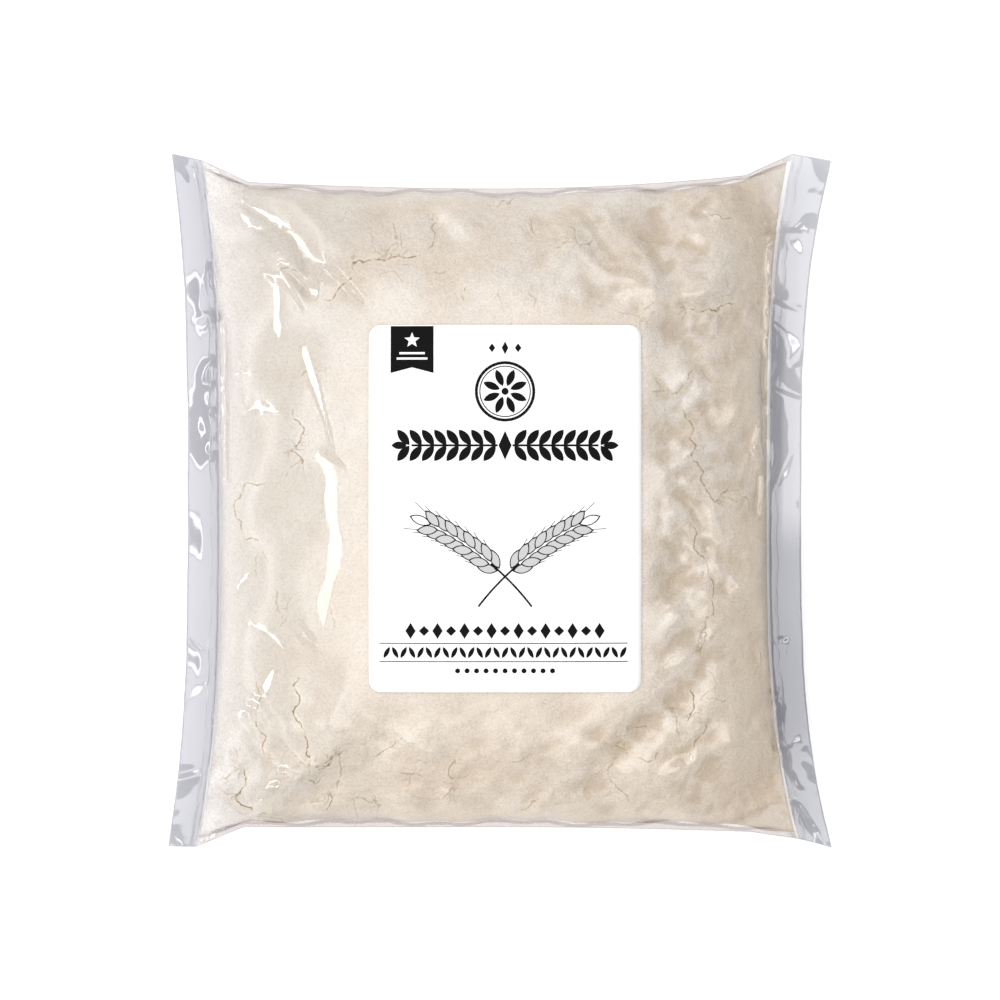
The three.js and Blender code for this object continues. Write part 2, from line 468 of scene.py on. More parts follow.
TAUT_FOLDS = (
    TautFold(((-88.5, 102.7), (-82, 99.4), (-77, 96.6), (-73.5, 94)), (0.5, 1.0, 1.5, 1.6)),
    TautFold(
        ((-72.5, 93.5), (-68, 88.5), (-64.5, 83), (-62.8, 77), (-62.3, 69)), (0.8, 4.2, 5.6, 4.6, 0.8)
    ),
    TautFold(((-61.5, 83), (-59, 79), (-56, 75.5)), (1.0, 1.6, 0.6)),
    TautFold(((-56, 79), (-53.5, 75), (-50, 71), (-46.5, 67)), (1.0, 2.2, 2.0, 0.6)),
    TautFold(((-89.5, 98.8), (-84.5, 94), (-80, 89.5), (-76, 86)), (0.6, 1.1, 1.5, 1.6)),
    TautFold(((-84, 86), (-81.5, 88), (-78, 88.7)), (0.8, 1.3, 0.7)),
    TautFold(((-75, 81.2), (-71, 78.3), (-67.5, 75.3), (-64, 71)), (1.2, 1.5, 1.8, 1.4)),
    TautFold(
        ((-81.5, 78.6), (-78, 76.5), (-75.8, 72.5), (-75.4, 66), (-76, 61.5)), (1.0, 1.4, 1.3, 1.1, 1.6)
    ),
    TautFold(((-76, 61.5), (-75.6, 59), (-75.2, 55)), (1.6, 3.6, 0.5)),
    TautFold(((-76.5, 77.5), (-73, 74.5), (-69.8, 70), (-67, 65)), (0.8, 1.2, 1.2, 0.5)),
    TautFold(
        ((-66.5, 51.5), (-65, 46), (-62.6, 39), (-60.2, 31), (-58, 24), (-56.6, 17)),
        (2.4, 2.3, 2.8, 1.6, 0.9, 0.6),
    ),
    TautFold(
        ((-61.5, 15), (-58.5, 11), (-57, 6), (-57, 0), (-57, -5)), (0.8, 2.8, 3.4, 5.0, 3.6), Flank.GENTLE
    ),
    TautFold(((-59, 15.6), (-55.5, 13.5), (-52, 11)), (0.8, 1.4, 0.5)),
    TautFold(((-87, 30.4), (-81, 30.6), (-75, 29.8)), (0.5, 0.8, 0.5)),
    TautFold(((-83, 33), (-80, 32.6), (-76.5, 30.8)), (0.5, 1.0, 0.6)),
    TautFold(((-90, 43.4), (-88, 43.9), (-86, 43.2)), (0.4, 0.7, 0.4)),
    TautFold(
        ((-56, -6), (-55, -12), (-56, -20), (-57.5, -27), (-59.6, -34), (-59.8, -42)),
        (2.4, 3.4, 3.0, 3.2, 4.4, 0.8),
        Flank.GENTLE,
    ),
    TautFold(((-85, -42.3), (-80, -44.3), (-76, -47.3), (-73.5, -50.8)), (0.7, 1.3, 1.3, 0.4)),
    TautFold(((-66.5, -42), (-64.5, -45.5), (-62.5, -47)), (0.5, 0.8, 0.5)),
    TautFold(((-68, -46), (-66, -48.5), (-63, -50)), (0.5, 0.9, 0.5)),
    TautFold(
        ((-77, -57.5), (-79.5, -63), (-82.5, -67.5), (-86, -71.5), (-89, -73)), (0.6, 2.0, 2.6, 2.4, 0.8)
    ),
    TautFold(((-86.2, -25.5), (-87.5, -27.3), (-89.5, -29.3)), (0.5, 1.4, 0.5)),
    TautFold(
        ((-73, -90.5), (-76, -95), (-79, -99.5), (-82.5, -102), (-85.5, -103)), (0.5, 2.2, 3.0, 1.8, 0.5)
    ),
)

FIN_FLATS = tuple(
    TautFold(line, widths, Flank.GENTLE)
    for line, widths in (
        (((-107, 114), (-104.5, 110), (-102.5, 105)), (0.7, 1.0, 0.7)),
        (((-101, 87), (-99.8, 81), (-98.2, 75.5)), (0.6, 1.1, 0.6)),
        (((-106, 63.8), (-102, 63), (-98, 62)), (0.8, 1.5, 1.0)),
        (((-99.5, 60.5), (-98.8, 57), (-101, 58)), (1.0, 1.0, 0.6)),
        (((-100.5, 42), (-99.5, 45), (-97.6, 46.5), (-98, 42)), (1.0, 1.0, 0.9, 0.6)),
        (((-100.5, 25), (-98.5, 28.5), (-97.4, 26), (-99.5, 23.5)), (0.8, 1.3, 1.0, 0.7)),
        (((-99.5, 17.5), (-98, 20.5), (-97.3, 18)), (0.7, 1.0, 0.8)),
        (((-96, 60), (-95.4, 50), (-96, 40), (-95.3, 30), (-95.8, 20), (-95.2, 8)), (0.7, 0.7)),
        (((-107, -48), (-104, -50.5), (-101, -53)), (0.7, 1.2, 0.8)),
        (((-108.5, -70), (-104.5, -66), (-100.5, -61.5)), (0.8, 2.2, 1.2)),
        (((-111, -96), (-107.5, -95), (-104.5, -94)), (0.8, 1.3, 0.8)),
        (((93, 91.5), (97, 93), (101, 93.3), (107, 94.5)), (0.8, 1.4, 1.4, 0.8)),
        (((99.2, 93), (101.5, 90), (104, 86.8)), (1.0, 4.0, 2.0)),
        (((94, 69.7), (98.5, 67), (103, 65.5)), (0.6, 1.0, 0.7)),
        (((95.2, 61.5), (99, 58.5), (102.5, 53), (100, 47.5)), (0.8, 1.8, 3.0, 1.0)),
        (((95.2, 38.5), (99, 37), (103, 35.6)), (0.6, 1.0, 0.6)),
        (((95.5, 2.5), (97.5, 7), (99.5, 11), (101.5, 16)), (0.8, 2.0, 2.4, 0.8)),
        (((97, -50), (100, -48), (99, -54)), (0.7, 1.2, 0.7)),
        (((95, -66), (96.5, -69), (95, -71)), (0.8, 1.1, 0.7)),
        (((96, -87), (101, -85), (104, -82)), (0.7, 1.4, 0.8)),
        (((98, -91), (101, -95), (103, -99)), (0.8, 1.8, 1.0)),
        (((104, -106), (107, -112), (110, -117)), (1.2, 3.0, 2.4)),
        (((93, 87), (92.2, 80), (92.8, 72), (91.8, 66), (92, 60)), (1.2, 0.8, 1.1)),
        (((92, 57), (91.5, 52), (93, 47), (91.8, 42), (92.4, 36)), (0.8, 1.3, 0.8)),
        (((91.8, 32), (92.4, 23), (93.5, 15), (92.4, 8)), (0.8, 1.2, 0.8)),
        (((89, 27), (86.7, 18), (89.5, 12.5), (90, 7), (89, -4.5)), (0.7, 1.1, 0.7)),
    )
)

FIN_RIDGES = (
    FilmRidge(((-104, 87), (-101, 83), (-99, 72), (-97, 68)), 0.7, 1.6),
    FilmRidge(((-104, 63), (-99, 63), (-102, 58)), 0.7, 1.5),
    FilmRidge(((-100, 48), (-102, 44), (-99, 40)), 0.7, 1.5),
    FilmRidge(((-103, 25), (-100, 30), (-97, 25)), 0.7, 1.5),
    FilmRidge(((-104, 19), (-101, 21)), 0.6, 1.4),
    FilmRidge(((-107, -48), (-101, -53)), 0.7, 1.6),
    FilmRidge(((-109, -70), (-100, -61)), 0.9, 2.4),
    FilmRidge(((-112, -96), (-104, -94)), 0.6, 1.6),
    FilmRidge(((-112, 115), (-104, 104)), 0.6, 2.0),
    FilmRidge(((110, 117), (105, 112)), 0.7, 1.6),
    FilmRidge(((113, 110), (104, 104), (100, 101)), 0.8, 1.8),
    FilmRidge(((97, 95), (101, 94), (107, 95), (109, 88)), 1.1, 2.2),
    FilmRidge(((95, 71), (102, 65), (105, 64)), 0.8, 1.5),
    FilmRidge(((98, 64), (104, 57), (104, 49), (101, 47)), 1.1, 2.4),
    FilmRidge(((97, 39), (104, 37)), 0.8, 1.6),
    FilmRidge(((96, 12), (103, 4)), 0.7, 1.6),
    FilmRidge(((97, -22), (103, -30)), 0.7, 1.6),
    FilmRidge(((100, -43), (101, -48), (99, -55)), 0.8, 1.5),
    FilmRidge(((97, -66), (98, -69), (96, -71)), 0.7, 1.4),
    FilmRidge(((96, -89), (101, -88), (106, -84)), 0.9, 1.6),
    FilmRidge(((100, -92), (104, -102), (108, -112), (112, -119)), 1.0, 1.9),
    FilmRidge(((101, -102), (104, -112), (105, -118)), 0.8, 1.5),
)


@dataclass(frozen=True)
class PillowForm:
    """The bag's outer form, in millimetres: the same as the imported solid's.

    Places on it are given along the bag, from -1 at the left seal to 1 at the right one, and across
    it, from -1 at the lower folded edge to 1 at the upper one. A lump is its height, its lengths
    along X and Y and its phase, and a set of crumples is its size, its height and its direction.
    """

    left_end: Flare
    left_seal: Flare
    right_seal: Flare
    right_end: Flare
    upper_edge: FoldedEdge
    lower_edge: FoldedEdge
    thickness: float
    seam: float = 16.0
    ear_droop: float = 4.0
    flare_power: float = 3.2
    notch: float = 0.84
    upper_bulge: Bulge = Bulge(2.8, 0.54, 3.2, 0.5)
    lower_bulge: Bulge = Bulge(3.0, 0.55, 3.6, 0.5)
    ear_taper: float = 0.6
    ear_start: float = 0.7
    underside_press: float = 1.35
    underside_fillet: float = 2.0
    ridge_share: float = 0.55
    ridge_offset: float = 1.4
    crease_fade: float = 0.22
    relief_full: float = 0.5
    label_stiffness: float = 0.75
    label_fade: float = 14.0
    lumps: tuple[tuple[float, float, float, float], ...] = (
        (0.55, 71, -93, 0.4),
        (0.45, -47, 61, 2.1),
        (0.4, 39, 52, 4.4),
        (0.3, -29, 43, 1.2),
    )
    crumples: Triples = (
        (20.0, -3.4, -52.0),
        (14.0, 3.2, 35.0),
        (9.0, 2.2, -38.0),
        (7.0, -1.4, 65.0),
    )
    crumpled_right: Point = (15.0, 60.0)
    crumpled_low: Point = (55.0, 95.0)
    crumpled_low_share: float = 0.75
    crumpled_elsewhere: float = 0.06
    crumple_middle: float = 0.35
    crumple_seed: int = 23
    ear_power: int = 4
    search_steps: int = 30

    @classmethod
    def from_frame(cls) -> PillowForm:
        """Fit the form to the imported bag's box.

        Returns:
            The form, with its outermost points on the box.
        """
        low, high = (np.array(corner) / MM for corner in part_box("bag"))
        return cls(
            left_end=Flare(low[0] + 7.3, low[0] + 1.3, low[0]),
            left_seal=Flare(-97, -103.5, -105.5),
            right_seal=Flare(93, 101.5, 103.5),
            right_end=Flare(high[0] - 11.2, high[0], high[0] - 0.2),
            upper_edge=FoldedEdge(107.8, (110.2, 112.6), (118, high[1] - 0.2), (high[1], 118)),
            lower_edge=FoldedEdge(-113.2, (-113.4, -115), (low[1], -117.6), (low[1], low[1])),
            thickness=50.0,
        )

    @property
    def width(self) -> float:
        """Return the distance between the folded edges at mid-bag."""
        return self.upper_edge.middle - self.lower_edge.middle

    def flared(self, line: Flare, across: Array) -> Array:
        """Return a flared line's X at places across the bag."""
        ear = np.where(across > 0, line.upper, line.lower)
        return line.middle + (ear - line.middle) * np.abs(across) ** self.flare_power

    def folded_edge(self, edge: FoldedEdge, along: Array) -> Array:
        """Return a folded edge's Y: bowed between the notches, straight from each to its corner.

        Args:
            edge: The folded edge.
            along: Places along the bag.

        Returns:
            The edge's Y at each place.
        """
        distance = np.minimum(np.abs(along), 1)
        notch = np.where(along < 0, *edge.notches)
        corner = np.where(along < 0, *edge.corners)
        bowed = edge.middle + (notch - edge.middle) * (distance / self.notch) ** 2
        straight = notch + (corner - notch) * (distance - self.notch) / (1 - self.notch)
        return np.where(distance < self.notch, bowed, straight)

    def plan(self, along: Array, across: Array) -> tuple[Array, Array]:
        """Return the X and Y of places on the pillow.

        Args:
            along: Places along the bag.
            across: Places across it.

        Returns:
            Their X and Y.
        """
        left, right = self.flared(self.left_seal, across), self.flared(self.right_seal, across)
        lower, upper = self.folded_edge(self.lower_edge, along), self.folded_edge(self.upper_edge, along)
        return left + (right - left) * (along + 1) / 2, lower + (upper - lower) * (across + 1) / 2

    def place(self, x: Array, y: Array) -> tuple[Array, Array]:
        """Find the places along and across the bag that lie at given plan positions.

        Args:
            x: The positions' X.
            y: The positions' Y.

        Returns:
            The places along and across the bag.
        """
        along, across = np.zeros(x.shape), np.zeros(x.shape)
        length = self.right_seal.middle - self.left_seal.middle
        for _ in range(self.search_steps):
            plan_x, plan_y = self.plan(along, across)
            along = np.clip(along + (x - plan_x) / length, -1, 1)
            across = np.clip(across + (y - plan_y) / self.width, -1, 1)
        return along, across

    def fullness(self, bulge: Bulge, along: Array, across: Array) -> Array:
        """Return how far a face stands out from the seam, from 0 at the outline to 1.

        Args:
            bulge: The face's bulge.
            along: Places along the bag.
            across: Places across it.

        Returns:
            The share of the face's full height.
        """
        a, b = np.minimum(np.abs(along), 1), np.minimum(np.abs(across), 1)
        ends = bulge.along_round + self.ear_taper * smoothstep(b, self.ear_start, 1)
        edges = bulge.across_round + self.ear_taper * smoothstep(a, self.ear_start, 1)
        return (1 - a**bulge.along_power) ** ends * (1 - b**bulge.across_power) ** edges

    def seam_height(self, along: Array, across: Array) -> Array:
        """Return the height at which the two faces meet, lower at the ears."""
        ear = np.minimum(np.abs(along), 1) * np.abs(across)
        return self.seam - self.ear_droop * ear**self.ear_power

    def label_freedom(self, x: Array, y: Array, label: LabelSheet) -> Array:
        """Return how free the film is to crease: 1 well away from the label, less under it."""
        beyond = label.beyond(x, y)
        return 1 - self.label_stiffness * (1 - smoothstep(beyond, 0, self.label_fade))

    def relief(self, x: Array, y: Array) -> Array:
        """Return the height that lumps and creases add to the upper face.

        Args:
            x: Plan positions' X.
            y: Their Y.

        Returns:
            The added height.
        """
        total = np.zeros(x.shape)
        for height, along_x, along_y, phase in self.lumps:
            total += height * np.sin(2 * np.pi * (x / along_x + y / along_y) + phase)
        for crease in CREASES:
            total += self.crease_relief(crease, x, y)
        return total + self.crumpled(x, y)

    def crumpled(self, x: Array, y: Array) -> Array:
        """Return the folds that handling has left at the right and along the lower edge.

        Args:
            x: Plan positions' X.
            y: Their Y.

        Returns:
            The added height, with sharp valleys or sharp ridges by the sign of each fold's height.
        """
        random = np.random.default_rng(self.crumple_seed)
        low = self.crumpled_low_share * smoothstep(-y, *self.crumpled_low)
        share = np.maximum(smoothstep(x, *self.crumpled_right), low)
        total = np.zeros(x.shape)
        for size, height, angle in self.crumples:
            total += height * (self.crumple_middle - fold_field(random, x, y, size, angle))
        return total * (self.crumpled_elsewhere + (1 - self.crumpled_elsewhere) * share)

    def crease_relief(self, crease: Crease, x: Array, y: Array) -> Array:
        """Return one crease's height: a valley along its line, and a ridge to its left.

        Args:
            crease: The crease.
            x: Plan positions' X.
            y: Their Y.

        Returns:
            The crease's height at each position.
        """
        dx, dy = crease.end[0] - crease.start[0], crease.end[1] - crease.start[1]
        length = math.hypot(dx, dy)
        share = ((x - crease.start[0]) * dx + (y - crease.start[1]) * dy) / length**2
        left = ((y - crease.start[1]) * dx - (x - crease.start[0]) * dy) / length
        taper = smoothstep(np.minimum(share, 1 - share), -self.crease_fade, self.crease_fade)
        valley = np.exp(-((left / crease.width) ** 2))
        ridge = np.exp(-(((left - self.ridge_offset * crease.width) / crease.width) ** 2))
        return crease.depth * taper * (self.ridge_share * ridge - valley)

    def upper_height(self, along: Array, across: Array, label: LabelSheet) -> Array:
        """Return the upper face's height, with its relief.

        Args:
            along: Places along the bag.
            across: Places across it.
            label: The label, which stiffens the film.

        Returns:
            The height at each place.
        """
        x, y = self.plan(along, across)
        seam = self.seam_height(along, across)
        full = self.fullness(self.upper_bulge, along, across)
        shown = self.relief(x, y) * self.label_freedom(x, y, label) * smoothstep(full, 0, self.relief_full)
        return seam + (self.thickness - seam) * full + shown

    def lower_height(self, along: Array, across: Array) -> Array:
        """Return the underside's height: pressed flat where it rests, with a rounded start.

        Args:
            along: Places along the bag.
            across: Places across it.

        Returns:
            The height at each place.
        """
        full = self.fullness(self.lower_bulge, along, across)
        free = self.seam_height(along, across) * (1 - self.underside_press * full)
        fillet = self.underside_fillet
        rounded = (np.clip(free, -fillet, fillet) + fillet) ** 2 / (4 * fillet)
        return np.where(free > fillet, free, rounded)


# Finishes


@dataclass(frozen=True)
class Stretch:
    """A stretch of one axis, in millimetres, over which a colour comes in up to its share."""

    axis: str
    start: float
    end: float
    share: float


@dataclass(frozen=True)
class WheatFlour:
    """Milled wheat flour pressed by film: matte, finely grained, with hairline cracks.

    Powder scatters light so evenly that it has almost no gloss. Pressed smooth by the film it shows
    soft paler and greyer patches. The brown of its cracks is painted shade in their grooves, and its
    hollows and a strip by the right seal carry painted shade too. Its left third carries painted
    shade, and a strip by the left seal a painted whitish reflection of the film.
    """

    pressed: str = "#E7D9C8"
    airy: str = "#EEE7DD"
    greyed: str = "#D2C8BC"
    warm: str = "#ECDBC2"
    # painted shade: a greyer, darker tone that comes in over the left third
    left_painted_shade: str = "#CDC8C0"
    # painted reflection: the film's whitish veil, painted into the flour by the left seal
    painted_film_veil: str = "#F6F4F3"
    fleck: str = "#B4A48F"
    # painted shade for the hollows and the strip by the right seal
    shaded: str = "#C0AB8D"
    crumb: str = "#F2E5CE"
    # painted shade: the brown inside the cracks' grooves
    crack: str = "#8E7153"
    warm_low: Stretch = Stretch("Y", 20.0, -110.0, 0.5)
    # where the painted shade over the left third comes in
    left_shade_reach: Stretch = Stretch("X", -30.0, -85.0, 0.6)
    # where the painted film veil by the left seal comes in
    film_veil_reach: Stretch = Stretch("X", -80.0, -102.0, 0.7)
    patch_mm: float = 17.0
    patch_edges: Point = (0.36, 0.64)
    patch_share: float = 0.75
    cloud_mm: float = 5.0
    cloud_edges: Point = (0.35, 0.68)
    cloud_share: float = 0.32
    cloud_height: float = 0.3
    grain_mm: float = 0.75
    grain_edges: Point = (0.56, 0.34)
    grain_contrast: float = 0.38
    grain_height: float = 0.25
    hollow_shade: float = 0.36
    crumb_mm: float = 2.0
    crumb_height: float = 0.7
    loose_height: float = 0.9
    bump_strength: float = 0.9
    wander_mm: float = 1.0
    gap_mm: float = 2.5
    gap_edges: Point = (0.38, 0.5)
    gap_least: float = 0.2
    crack_edges_mm: Point = (0.06, 0.315)
    crack_height: float = -0.3
    halo_mm: float = 1.6
    halo_share: float = 0.5
    roughness: float = 0.96
    gloss: float = 0.12

    def build(self) -> Material:
        """Build the flour's material.

        Real grains are about 0.05 mm across, too fine to show, so they are drawn as clusters of
        grain_mm, as coarse as they need to show.

        Returns:
            The material.
        """
        material, tree = new_material("wheat_flour_powder")
        place = add_node(tree, "TexCoord", output="Object")
        noises = []
        for size, detail, roughness in (
            (self.patch_mm, 3.0, 0.5),
            (self.cloud_mm, 5.0, 0.62),
            (self.grain_mm, 3.0, 0.7),
            (self.crumb_mm, 4.0, 0.65),
        ):
            inputs = {"Vector": place, "Scale": scale_for(size), "Detail": detail, "Roughness": roughness}
            noises.append(add_node(tree, "TexNoise", {}, inputs, "Fac"))
        patches, clouds, grain, crumbs = noises
        masks = []
        for noise, (low, high), share in (
            (patches, self.patch_edges, self.patch_share),
            (clouds, self.cloud_edges, 1.0),
            (grain, self.grain_edges, self.grain_contrast),
        ):
            inputs = {0: noise, "From Min": low, "From Max": high, "To Max": share}
            masks.append(add_node(tree, "MapRange", {}, inputs))
        # the warm tone lower down, the painted shade over the left third and the painted film veil by the
        # left seal
        for stretch in (self.warm_low, self.left_shade_reach, self.film_veil_reach):
            axis = add_node(tree, "SeparateXYZ", {}, {0: place}, stretch.axis)
            ends = {"From Min": stretch.start * MM, "From Max": stretch.end * MM}
            masks.append(add_node(tree, "MapRange", {}, {0: axis, **ends, "To Max": stretch.share}))
        patches, clouds, speckle, warm, left_shade, film_veil = masks
        greying = add_node(tree, "Math", MULTIPLY, {0: clouds, 1: self.cloud_share})
        # painted shade: darkens the hollows and the strip by the right seal
        hollow = add_node(tree, "Attribute", {"attribute_name": "hollow"}, output="Fac")
        hollow = add_node(tree, "Math", MULTIPLY, {0: hollow, 1: self.hollow_shade})
        # the cracks' painted shade, and their paler loose crumb
        line, halo = self.crack_masks(tree, place)
        colour: Any = linear(self.pressed)
        # the flour's own tones, with painted shade and the painted film veil mixed in
        for share, tint in (
            (patches, self.airy),
            (greying, self.greyed),
            (warm, self.warm),
            (left_shade, self.left_painted_shade),
            (film_veil, self.painted_film_veil),
            (speckle, self.fleck),
            (hollow, self.shaded),
            (halo, self.crumb),
            (line, self.crack),
        ):
            colour = add_node(tree, "Mix", COLOUR_MIX, {0: share, 6: colour, 7: linear(tint)}, 2)
        height = add_node(tree, "Math", MULTIPLY, {0: grain, 1: self.grain_height})
        loose_inputs = {0: halo, 1: self.loose_height, 2: self.crumb_height}
        loose = add_node(tree, "Math", MULTIPLY_ADD, loose_inputs)
        for pattern, share in ((crumbs, loose), (clouds, self.cloud_height), (line, self.crack_height)):
            height = add_node(tree, "Math", MULTIPLY_ADD, {0: pattern, 1: share, 2: height})
        bump_inputs = {"Height": height, "Strength": self.bump_strength, "Distance": MM}
        bump = add_node(tree, "Bump", {}, bump_inputs)
        finish = {"Roughness": self.roughness, "Specular IOR Level": self.gloss, "Normal": bump}
        surface = add_node(tree, "BsdfPrincipled", {}, {"Base Color": colour, **finish})
        add_node(tree, "OutputMaterial", {}, {"Surface": surface})
        return material

    def crack_masks(self, tree: NodeTree, place: NodeSocket) -> tuple[NodeSocket, NodeSocket]:
        """Draw the cracks from the distances kept on the mesh, thinned and broken along their length.

        Args:
            tree: The material's node tree.
            place: The place on the object.

        Returns:
            Masks of the crack's painted shade and of the loose crumb beside it.
        """
        crack = add_node(tree, "Attribute", {"attribute_name": "crack_mm"}, output="Fac")
        strength = add_node(tree, "Attribute", {"attribute_name": "crack_strength"}, output="Fac")
        noises = []
        for size in (self.wander_mm, self.gap_mm):
            inputs = {"Vector": place, "Scale": scale_for(size), "Detail": 2.0}
            noises.append(add_node(tree, "TexNoise", {}, inputs, "Fac"))
        wander, gaps = noises
        wander = add_node(tree, "Math", SUBTRACT, {0: wander, 1: 0.5})
        offset = add_node(tree, "Math", ADD, {0: crack, 1: wander})
        offset = add_node(tree, "Math", ABSOLUTE, {0: offset})
        narrow, wide = self.crack_edges_mm
        masks = []
        for near, far, share in ((narrow, wide, 1.0), (wide, self.halo_mm, self.halo_share)):
            inputs = {0: offset, "From Min": near, "From Max": far, "To Min": share, "To Max": 0.0}
            masks.append(add_node(tree, "MapRange", {"interpolation_type": "SMOOTHSTEP"}, inputs))
        line, halo = masks
        low, high = self.gap_edges
        gap_inputs = {0: gaps, "From Min": low, "From Max": high, "To Min": self.gap_least}
        gaps = add_node(tree, "MapRange", {}, gap_inputs)
        line = add_node(tree, "Math", MULTIPLY, {0: line, 1: gaps})
        line = add_node(tree, "Math", MULTIPLY, {0: line, 1: strength})
        halo = add_node(tree, "Math", MULTIPLY, {0: halo, 1: strength})
        return line, halo


@dataclass(frozen=True)
class PolyethyleneFilm:
    """Blown polyethylene film, about 0.07 mm thick: clear, glossy and slightly grey at the seals.

    Both of its faces reflect, about 4.5% each, from either side alike. The heat seals have pressed
    wavy lines into it, and handling has left fine crinkles. Film that lies on the flour takes its
    grain and gleams softly, and film pulled free of it mirrors the lamps. The right fin's deeper grey
    is painted shade.
    """

    clear: str = "#FDFDFE"
    left_seal: str = "#DADADE"
    # partly the film's own grey, partly painted shade: the right fin's tint, darker than the left
    right_seal: str = "#C8C9CE"
    folded: str = "#E3DFDF"
    facing_reflection: float = 0.09
    glancing_power: float = 5.0
    free_roughness: float = 0.09
    pressed_roughness: float = 0.3
    crinkle_mm: float = 7.0
    crinkle_height: float = 0.1
    wave_mm: float = 9.0
    wave_reach_mm: float = 2.6
    ridge_places_mm: Point = (0.4, 2.6)
    ridge_half_width_mm: float = 0.35
    ridge_height: float = 0.22
    bump_strength: float = 0.6

    def build(self) -> Material:
        """Build the film's material.

        Returns:
            The material.
        """
        material, tree = new_material("clear_polyethylene_film")
        place = add_node(tree, "TexCoord", output="Object")
        crinkle_inputs = {"Vector": place, "Scale": scale_for(self.crinkle_mm), "Detail": 2.0}
        crinkle = add_node(tree, "TexNoise", {}, crinkle_inputs, "Fac")
        crinkle = add_node(tree, "Math", MULTIPLY, {0: crinkle, 1: self.crinkle_height})
        ridge_inputs = {0: self.seal_ridges(tree, place), 1: self.ridge_height, 2: crinkle}
        height = add_node(tree, "Math", MULTIPLY_ADD, ridge_inputs)
        bump_inputs = {"Height": height, "Strength": self.bump_strength, "Distance": MM}
        bump = add_node(tree, "Bump", {}, bump_inputs)
        tint: Any = linear(self.clear)
        for name, colour in (
            ("left_fin", self.left_seal),
            ("right_fin", self.right_seal),
            ("folded_lip", self.folded),
        ):
            share = add_node(tree, "Attribute", {"attribute_name": name}, output="Fac")
            tint = add_node(tree, "Mix", COLOUR_MIX, {0: share, 6: tint, 7: linear(colour)}, 2)
        see_through = add_node(tree, "BsdfTransparent", {}, {"Color": tint})
        pressed = add_node(tree, "Attribute", {"attribute_name": "on_flour"}, output="Fac")
        ends = {"To Min": self.free_roughness, "To Max": self.pressed_roughness}
        roughness = add_node(tree, "MapRange", {}, {0: pressed, **ends})
        gloss = add_node(tree, "BsdfGlossy", {}, {"Roughness": roughness, "Normal": bump})
        glancing = add_node(tree, "LayerWeight", {}, {"Blend": 0.5, "Normal": bump}, "Facing")
        power_inputs = {0: glancing, 1: self.glancing_power}
        glancing = add_node(tree, "Math", POWER, power_inputs)
        base = self.facing_reflection
        share_inputs = {0: glancing, 1: 1 - base, 2: base}
        share = add_node(tree, "Math", MULTIPLY_ADD, share_inputs)
        surface = add_node(tree, "MixShader", {}, {0: share, 1: see_through, 2: gloss})
        add_node(tree, "OutputMaterial", {}, {"Surface": surface})
        return material

    def seal_ridges(self, tree: NodeTree, place: NodeSocket) -> NodeSocket:
        """Draw the wavy lines that the sealing bar left beside the flour.

        Args:
            tree: The material's node tree.
            place: The place on the object.

        Returns:
            The lines' height, from 0 to 1.
        """
        beyond = add_node(tree, "Attribute", {"attribute_name": "seal_mm"}, output="Fac")
        wave_inputs = {"Vector": place, "Scale": scale_for(self.wave_mm), "Detail": 2.0}
        wave = add_node(tree, "TexNoise", {}, wave_inputs, "Fac")
        wave = add_node(tree, "Math", SUBTRACT, {0: wave, 1: 0.5})
        beyond_inputs = {0: wave, 1: self.wave_reach_mm, 2: beyond}
        beyond = add_node(tree, "Math", MULTIPLY_ADD, beyond_inputs)
        ridges = []
        for ridge_place in self.ridge_places_mm:
            off = add_node(tree, "Math", SUBTRACT, {0: beyond, 1: ridge_place})
            off = add_node(tree, "Math", DIVIDE, {0: off, 1: self.ridge_half_width_mm})
            square = add_node(tree, "Math", MULTIPLY, {0: off, 1: off})
            ridges.append(add_node(tree, "Math", POWER, {0: 0.5, 1: square}))
        return add_node(tree, "Math", ADD, {0: ridges[0], 1: ridges[1]})


@dataclass(frozen=True)
class CoatedLabelPaper:
    """Clay-coated self-adhesive paper: bright white, smooth, with a faint sheen.

    Its fibres are about 0.02 mm wide, too fine to show, so their relief is drawn at fibre_mm.
    """

    white: str = "#FAFAFA"
    roughness: float = 0.55
    gloss: float = 0.3
    fibre_mm: float = 0.4
    fibre_height_mm: float = 0.2
    fibre_strength: float = 0.05

    def build(self) -> Material:
        """Build the paper's material.

        Returns:
            The material.
        """
        material, tree = new_material("coated_label_paper")
        place = add_node(tree, "TexCoord", output="Object")
        fibre_inputs = {"Vector": place, "Scale": scale_for(self.fibre_mm), "Detail": 3.0}
        fibres = add_node(tree, "TexNoise", {}, fibre_inputs, "Fac")
        bump_inputs = {"Strength": self.fibre_strength, "Distance": self.fibre_height_mm * MM}
        bump = add_node(tree, "Bump", {}, {"Height": fibres, **bump_inputs})
        finish = {"Roughness": self.roughness, "Specular IOR Level": self.gloss, "Normal": bump}
        surface = add_node(tree, "BsdfPrincipled", {}, {"Base Color": linear(self.white), **finish})
        add_node(tree, "OutputMaterial", {}, {"Surface": surface})
        return material


